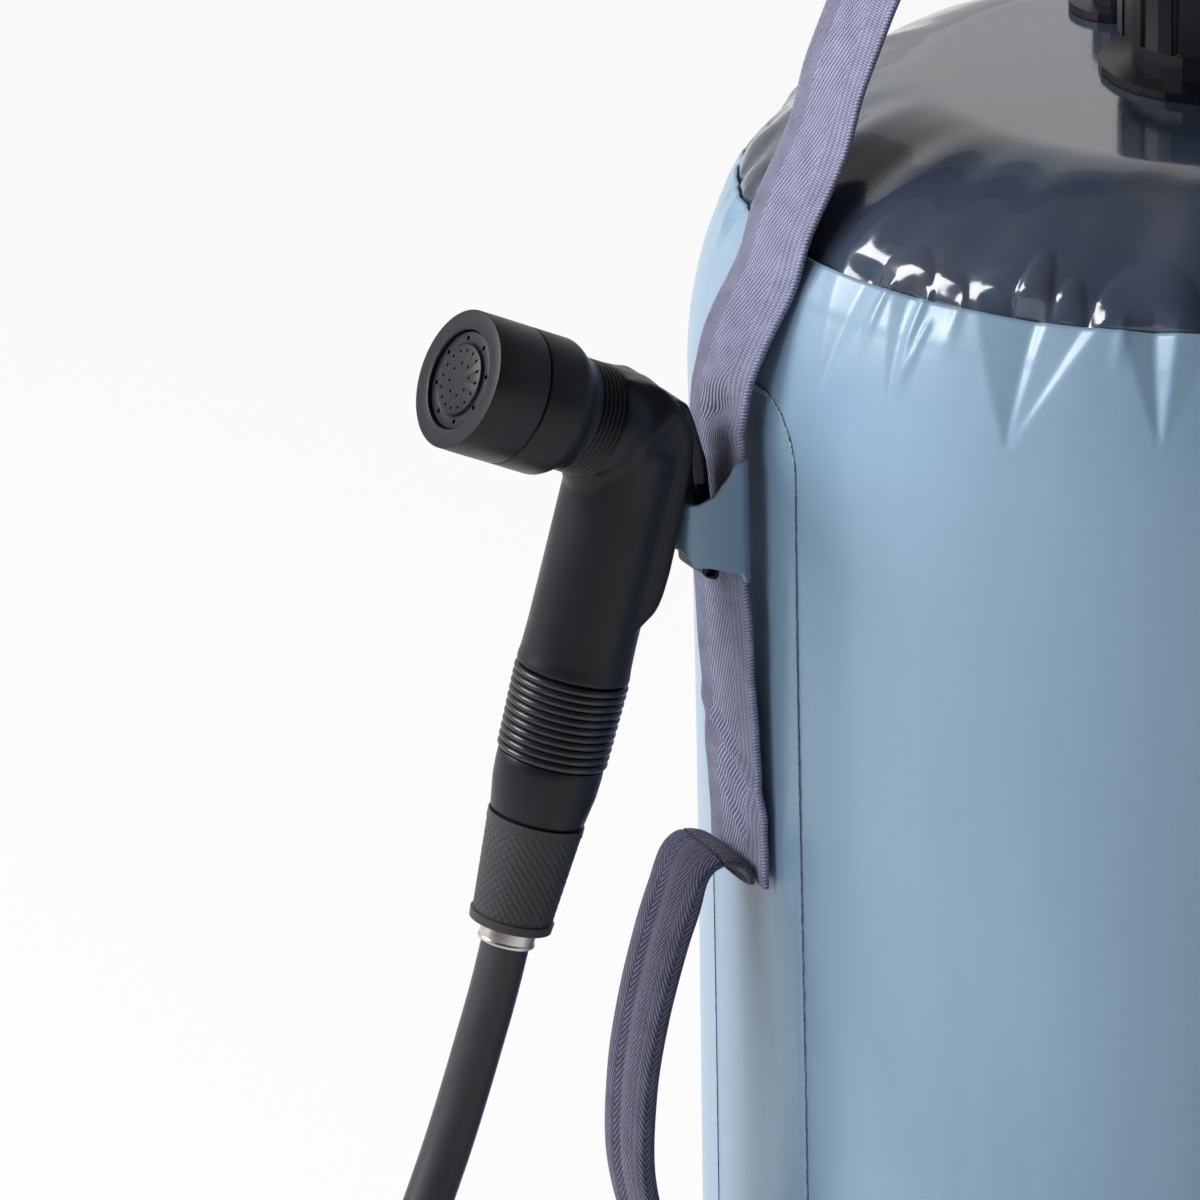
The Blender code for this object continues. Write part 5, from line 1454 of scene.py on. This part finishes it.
# Outlines in the sprayer's X-Z plane, in millimetres from the elbow.
HUMP = (
    (12.5, 15.2), (8.0, 15.0), (0.2, 14.3), (-4.4, 11.1), (-7.6, 8.9), (-9.7, 6.2), (-11.0, 3.0),
    (-12.0, -1.0), (-12.7, -6.0), (-13.1, -15.0), (-13.5, -24.0), (-13.7, -31.0), (-13.4, -37.0),
    (-12.5, -41.2), (-9.8, -44.6), (-7.4, -47.6), (-6.0, -52.0), (2.0, -52.0), (6.0, -30.0), (6.0, 0.0),
)
LEVER_HEAD = (
    (-5.4, 10.5), (-7.0, 9.4), (-9.0, 7.5), (-10.5, 5.5), (-11.9, 3.0), (-14.1, -0.6), (-16.1, -5.2),
    (-17.0, -8.2), (-14.2, -8.4), (-12.5, -5.5), (-11.2, -0.6), (-9.9, 3.3), (-7.3, 8.1), (-5.2, 10.2),
)
HEAD_ROOM = (
    (-4.8, 20.0), (-4.8, 10.1), (-6.9, 7.7), (-9.3, 3.3), (-10.2, -1.0), (-11.1, -6.0), (-11.9, -10.5),
    (-30.0, -10.5), (-30.0, 20.0),
)
TONGUE = (
    (-6.1, 10.8), (-9.6, 9.9), (-12.8, 5.6), (-15.5, 1.3), (-18.5, -3.3), (-30.3, -31.9), (-29.4, -33.2),
    (-26.6, -32.8), (-25.6, -31.9), (-13.8, -3.3), (-7.6, 1.9), (-4.0, 3.8), (-3.1, 7.5),
)
TONGUE_POCKETS = ((-25.9, -27.6), (-27.3, -31.0))
POCKET_HALF = (0.0012, 0.0011)
POCKET_DEPTH = 0.0020
POCKET_ASIDE = 0.0070

SPRING_ENDS = (-0.0138, -0.0069)    # along the valve's axis
SPRING_RADIUS = 0.0031
SPRING_WIRE = 0.0004
SPRING_TURNS = 5


def millimetres(outline):
    return [(x / 1000, z / 1000) for x, z in outline]


class SHOWER_OT_sprayer(bpy.types.Operator):
    """Makes the sprayer's body: round handle, neck, collar, hump, grip sleeve and taper"""
    bl_idname = "shower.sprayer"
    bl_label = "Sprayer"

    def execute(self, context):
        s = context.scene.shower_sprayer
        place, head = sprayer_place(), head_place()
        handle = turned([
            (0.0, 0.0075), (0.0070, 0.0068), (0.0110, 0.0040), (s.handle_radius, -0.0030),
            (s.handle_radius, -0.0500), (s.handle_radius + 0.0002, -0.0570),
            (GRIP_TOP, -s.grip_start + GAP), (0.0, -s.grip_start + GAP),
        ], 96, place)
        ribs_end = s.neck_start - s.ribs * s.rib_pitch
        neck = turned([
            (0.0, NECK_BACK), (s.neck_radius - 0.0020, NECK_BACK), (s.neck_radius, -0.0055),
            (s.neck_radius, 0.0), (s.neck_radius, 0.0040), (s.neck_radius, 0.0080), (s.neck_radius, ribs_end),
            (NECK_CORE, ribs_end + 0.0002), (NECK_CORE, NECK_FRONT), (0.0, NECK_FRONT),
        ], 96)
        for vert in neck.verts:
            vert.co.y *= 1.0 - 0.13 * ease((0.0100 - vert.co.z) / 0.0120)
        bmesh.ops.transform(neck, matrix=head, verts=neck.verts)
        slope_way = (place.to_3x3() @ Vector(NECK_SLOPE_WAY)).normalized()
        bmesh.ops.bisect_plane(neck, geom=neck.verts[:] + neck.edges[:] + neck.faces[:], clear_outer=True,
                               plane_co=place @ Vector(NECK_SLOPE_AT), plane_no=slope_way)
        bmesh.ops.holes_fill(neck, edges=[e for e in neck.edges if e.is_boundary], sides=0)
        bmesh.ops.recalc_face_normals(neck, faces=neck.faces)
        hump = slab(millimetres(HUMP), s.hump_half)
        for vert in hump.verts:
            if vert.co.z > 0.014:
                vert.co.y *= 1.0 - 0.62 * ease((vert.co.x + 0.002) / 0.0115)
        hump = eased(hump, 0.0024, 16.0, 3)
        bmesh.ops.transform(hump, matrix=place, verts=hump.verts)
        fillet = turned([
            (0.0, 0.010), (0.0090, 0.009), (0.0108, -0.004), (0.0096, -0.012), (0.0, -0.013),
        ], 48, place @ Matrix.Translation((0.0052, 0.0, -0.0090)) @ rotated(40.0, "Y"))
        slot = [(-0.0030, 0.020), (-0.0030, 0.0035), (-0.0085, -0.0006), (-0.0111, -0.0038),
                (-0.030, -0.0060), (-0.030, 0.020)]
        body = skin_round([handle, neck, hump, fillet], 0.00045, 34,
                          [slab(slot, s.lever_width / 2 + RUN, place),
                           slab(millimetres(HEAD_ROOM), s.hump_half - HEAD_INSET + GAP, place)])
        piece("sprayer_shell", body, "black", "sprayer", "sprayer_body", sharp=35.0)
        collar = eased(turned(collar_profile(s), 128, head), 0.00022, 24.0)
        piece("sprayer_collar", collar, "black", "sprayer")
        low = -s.grip_start - s.grip_length
        face = sprayer_nut_face()
        taper = [(0.0, low + 0.004), (TAPER_CORE, low + 0.004), (TAPER_CORE, low - GAP),
                 (GRIP_END, low - GAP), (0.01305, low - 0.0030), (0.0128, low - 0.0075),
                 (0.0117, -s.nut_start + 0.0012), (TAPER_CORE, -s.nut_start + 0.0001),
                 (STUB_RADIUS, -s.nut_start + 0.0001), (STUB_RADIUS, face), (0.0, face)]
        piece("sprayer_taper", eased(turned(taper, 96, place), 0.00025, 30.0), "black", "sprayer")
        piece("grip", turned(grip_profile(s), 112, place, closed=True), "rubber", "sprayer", "grip_sleeve")
        return {"FINISHED"}


def collar_profile(s):
    """The head's crisp part: spigot, bulge behind the cap, hollow curve and fine neck ribs."""
    front = s.reach - s.cap_length - GAP
    shoulder = front - s.bulge
    spigot = s.cap_radius - CAP_WALL - RUN
    profile = [(0.0, front + 0.0075), (spigot, front + 0.0075), (spigot, front),
               (s.cap_radius - 0.0004, front), (s.cap_radius, front - 0.0004)]
    for i in range(19):
        t = i / 18
        profile.append((s.cap_radius - (s.cap_radius - s.neck_radius) * ease(t),
                        shoulder - (shoulder - s.neck_start) * t + 0.0012 * (1 - t)))
    for i in range(s.ribs):
        top = s.neck_start - s.rib_pitch * i
        for j, deep in enumerate((0.0, 0.1, 0.55, 1.0, 0.55, 0.1)):
            profile.append((s.neck_radius - 0.00042 * deep, top - s.rib_pitch * (0.30 + 0.13 * j)))
    end = s.neck_start - s.rib_pitch * s.ribs
    return profile + [(s.neck_radius - 0.0002, end), (0.0100, end), (0.0, end)]


def grip_profile(s):
    """Rounded ribs down the outer side, and a plain bore."""
    profile = []
    pitch = s.grip_length / s.grip_ribs
    for i in range(s.grip_ribs):
        radius = GRIP_TOP - GRIP_FALL * (i + 0.5) / s.grip_ribs
        for j in range(12):
            arch = abs(math.sin(math.pi * j / 12)) ** 0.55
            profile.append((radius - GRIP_RIB * (1.0 - arch), -s.grip_start - pitch * (i + j / 12)))
    low = -s.grip_start - s.grip_length
    return profile + [(GRIP_END, low), (GRIP_BORE, low), (GRIP_BORE, -s.grip_start)]


class SHOWER_OT_head(bpy.types.Operator):
    """Makes the turning cap and the jet plate with its rings of holes"""
    bl_idname = "shower.head"
    bl_label = "Spray head"

    def execute(self, context):
        s = context.scene.shower_sprayer
        head = head_place()
        low = s.reach - s.cap_length
        lip = s.reach - s.cap_lip
        inner = s.cap_radius - CAP_WALL
        cap = [(s.cap_radius, s.reach), (s.cap_radius + 0.00005, s.reach - 0.006), (s.cap_radius, low),
               (inner, low), (inner, lip), (s.cap_mouth, lip), (s.cap_mouth, s.reach - 0.0003),
               (s.cap_mouth + 0.0003, s.reach)]
        cap_form = eased(turned(cap, 144, head, closed=True), 0.00045, 24.0, 3)
        piece("cap", cap_form, "black", "spray_head", "spray_cap")
        seat = lip - GAP
        top = s.reach - PLATE_SINK
        rise = s.reach - 0.0003
        deep = seat - PLATE_THICKNESS
        plate = eased(turned([(0.0, rise), (0.0085, rise), (0.0087, top - 0.0003), (0.0092, top),
                              (s.cap_mouth - GAP, top), (s.cap_mouth - GAP, seat), (PLATE_RADIUS, seat),
                              (PLATE_RADIUS, deep), (0.0, deep)], 96, head), 0.00014, 30.0)
        holes = []
        for jets, radius, circle in JETS:
            for i in range(jets):
                turn = math.tau * (i + 0.5) / jets
                spot = head @ Matrix.Translation((circle * math.cos(turn), circle * math.sin(turn), 0.0))
                holes.append(turned([(0.0, rise + 0.002), (radius, rise + 0.002), (radius, top - JET_DEPTH),
                                     (0.0, top - JET_DEPTH)], 12, spot))
        drilled = finished(shown("holder", mesh_of("holder", plate)), [joined(*holes)])
        piece("jets", drilled, "black", "spray_head", "jet_plate")
        return {"FINISHED"}


class SHOWER_OT_trigger(bpy.types.Operator):
    """Makes the trigger lever, its wide head flush with the hump and its tongue in the loop"""
    bl_idname = "shower.trigger"
    bl_label = "Trigger"

    def execute(self, context):
        s = context.scene.shower_sprayer
        place = sprayer_place()
        wide = eased(slab(millimetres(LEVER_HEAD), s.hump_half - HEAD_INSET, place), 0.0005, 30.0)
        narrow = eased(slab(millimetres(TONGUE), s.lever_width / 2, place), 0.0007, 30.0)
        pockets = []
        for x, z in millimetres(TONGUE_POCKETS):
            corners = [(x + POCKET_HALF[0] * a, z + POCKET_HALF[1] * b)
                       for a, b in ((-1, -1), (1, -1), (1, 1), (-1, 1))]
            pockets.append(slab(corners, POCKET_DEPTH, place @ Matrix.Translation((0.0, POCKET_ASIDE, 0.0))))
        lever = skin_round([wide, narrow], 0.00032, 5, pockets)
        piece("lever", lever, "black", "trigger", "trigger_lever", sharp=35.0)
        valve = place @ Matrix.Translation((0.0, 0.0, -VALVE_DROP)) @ rotated(90.0, "Y")
        spring = piece("valve_spring", wound(valve), "steel", "sprayer", "return_spring")
        push = valve.to_3x3() @ Vector((0.0, 0.0, 1.0))
        seat = valve @ Vector((0.0, 0.0, SPRING_ENDS[1]))
        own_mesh(spring)
        return {"FINISHED"}


def wound(place):
    """The return spring: a round wire spun up round the valve's stem."""
    made = bmesh.new()
    wire = bmesh.ops.create_circle(made, segments=12, radius=SPRING_WIRE, cap_ends=True)["verts"]
    bmesh.ops.rotate(made, verts=wire, cent=(0, 0, 0), matrix=Matrix.Rotation(math.radians(90.0), 3, "X"))
    bmesh.ops.translate(made, verts=wire, vec=(SPRING_RADIUS, 0.0, SPRING_ENDS[0]))
    steps = SPRING_TURNS * 36
    rise = (SPRING_ENDS[1] - SPRING_ENDS[0]) / steps
    bmesh.ops.spin(made, geom=made.verts[:] + made.edges[:] + made.faces[:], axis=(0, 0, 1), cent=(0, 0, 0),
                   dvec=(0.0, 0.0, rise), angle=SPRING_TURNS * math.tau, steps=steps)
    bmesh.ops.recalc_face_normals(made, faces=made.faces)
    bmesh.ops.transform(made, matrix=place, verts=made.verts)
    return made


# Hose fittings

NUT_LIP = 0.0022
NUT_BORE = 0.0073
NUT_CUP_RADIUS = 0.0100
KNURL_ROWS = 92
KNURLS_ROUND = 34
KNURL_RISE = 0.00030
FERRULE_BORE = 0.0053
FERRULE_LIP = 0.00025


def knurled(place, top, hose):
    """A hose nut: plain lips and a diamond knurl between them."""
    length, lip = hose.nut_length, NUT_LIP
    rows = [(hose.nut_top, top), (hose.nut_top, top - lip)]
    for i in range(KNURL_ROWS + 1):
        t = i / KNURL_ROWS
        rows.append((hose.nut_top - 0.0003 + (hose.nut_low + 0.0003 - hose.nut_top) * t,
                     top - lip - 0.0002 - (length - 2 * lip - 0.0004) * t))
    rows += [(hose.nut_low + 0.0006, top - length + lip), (hose.nut_low + 0.0004, top - length)]
    rows += [(NUT_BORE, top - length), (NUT_BORE, top - 0.0115), (NUT_CUP_RADIUS, top - 0.0092),
             (NUT_CUP_RADIUS, top)]
    made = turned(rows, 264, closed=True)
    for vert in made.verts:
        radius = math.hypot(vert.co.x, vert.co.y)
        down = top - vert.co.z
        if radius > 0.0090 and lip + 0.0004 < down < length - lip - 0.0004:
            turn = math.atan2(vert.co.y, vert.co.x)
            a = turn * KNURLS_ROUND + down / hose.knurl * math.pi
            b = turn * KNURLS_ROUND - down / hose.knurl * math.pi
            ridge = 1.0 - (abs(math.sin(a / 2)) + abs(math.sin(b / 2))) * 0.5
            edge = ease(min(down - lip, length - lip - down) / 0.0010)
            grow = 1.0 + KNURL_RISE * (ridge - 0.35) * edge / radius
            vert.co.x *= grow
            vert.co.y *= grow
    bmesh.ops.transform(made, matrix=place, verts=made.verts)
    return made


def ferrule_form(place, low, hose):
    """A steel ring with rolled lips round the hose's end."""
    outer = hose.radius + GAP + FERRULE_WALL
    top = low + FERRULE_LENGTH
    return eased(turned([
        (outer, top), (outer, low + 0.0011), (outer + FERRULE_LIP, low + 0.0008),
        (outer + FERRULE_LIP, low + 0.0002), (outer, low), (FERRULE_BORE, low), (FERRULE_BORE, top),
    ], 96, place, closed=True), 0.00012, 24.0)


class SHOWER_OT_fittings(bpy.types.Operator):
    """Makes the knurled nuts and steel ferrules at both ends of the hose"""
    bl_idname = "shower.fittings"
    bl_label = "Hose fittings"

    def execute(self, context):
        hose = context.scene.shower_hose
        for side, place, face in (("sprayer", sprayer_place(), sprayer_nut_face()),
                                  ("outlet", outlet_place(), 0.0)):
            top, low = fitting_heights(face, hose)
            nut, ferrule = side + "_nut", side + "_ferrule"
            piece(side + "_hose_nut", knurled(place, top, hose), "grey", body_of(nut), nut, sharp=50.0)
            piece(side + "_hose_ring", ferrule_form(place, low, hose), "steel", body_of(ferrule), ferrule)
        return {"FINISHED"}


def body_of(node):
    """The body that a node of the record is on."""
    for body, nodes in frame["record"]["behaviour"]["bodies"].items():
        if node in nodes:
            return body
    raise RuntimeError("no body has the node " + node)


# Materials of the solids that stay

CARRIED = {
    "black": ("outlet_body", "lock_nut", "fill_neck", "fill_cap", "air_valve_body", "air_valve_cap",
              "flow_disc"),
    "rubber": ("wall_washer", "outlet_washer", "sprayer_washer", "fill_gasket", "air_valve_flap", "stem_seal",
               "plate_gasket", "valve_disc"),
    "steel": ("inlet_screen", "trigger_pin", "valve_stem"),
    "brass": ("outlet_tail", "sprayer_tail", "valve_seat"),
}


class SHOWER_OT_carried(bpy.types.Operator):
    """Gives the solids that stay in view their finishes"""
    bl_idname = "shower.carried"
    bl_label = "Finishes of the plain solids"

    def execute(self, context):
        for finish, nodes in CARRIED.items():
            for name in nodes:
                data = frame["nodes"][name].data
                data.materials.clear()
                data.materials.append(finishes()[finish])
        return {"FINISHED"}


# Add-on

GROUPS = (("shower_bag", BagSizes), ("shower_webbing", WebbingSizes), ("shower_sprayer", SprayerSizes),
          ("shower_hose", HoseSizes), ("shower_tints", Tints))
# The fittings come before the hose.
OPERATORS = (SHOWER_OT_stage, SHOWER_OT_fittings, SHOWER_OT_hose, SHOWER_OT_wall, SHOWER_OT_crown,
             SHOWER_OT_patches, SHOWER_OT_strap, SHOWER_OT_handles, SHOWER_OT_loop, SHOWER_OT_sprayer,
             SHOWER_OT_head, SHOWER_OT_trigger, SHOWER_OT_carried)


class SHOWER_PT_panel(bpy.types.Panel):
    """Lists the steps that dress the shower bag"""
    bl_idname = "SHOWER_PT_panel"
    bl_label = "Shower bag"
    bl_space_type = "VIEW_3D"
    bl_region_type = "UI"
    bl_category = "Shower bag"

    def draw(self, context):
        for name, group in GROUPS:
            box = self.layout.box()
            for key in group.__annotations__:
                box.prop(getattr(context.scene, name), key)
        for operator in OPERATORS:
            self.layout.operator(operator.bl_idname)


def register():
    for name, group in GROUPS:
        bpy.utils.register_class(group)
        setattr(bpy.types.Scene, name, PointerProperty(type=group))
    for made in (*OPERATORS, SHOWER_PT_panel):
        bpy.utils.register_class(made)


def unregister():
    for made in (SHOWER_PT_panel, *OPERATORS[::-1]):
        bpy.utils.unregister_class(made)
    for name, group in GROUPS[::-1]:
        delattr(bpy.types.Scene, name)
        bpy.utils.unregister_class(group)


def main():
    register()
    for operator in OPERATORS:
        step = operator.bl_idname.split(".")[1]
        getattr(bpy.ops.shower, step)()


if __name__ == "__main__":
    main()
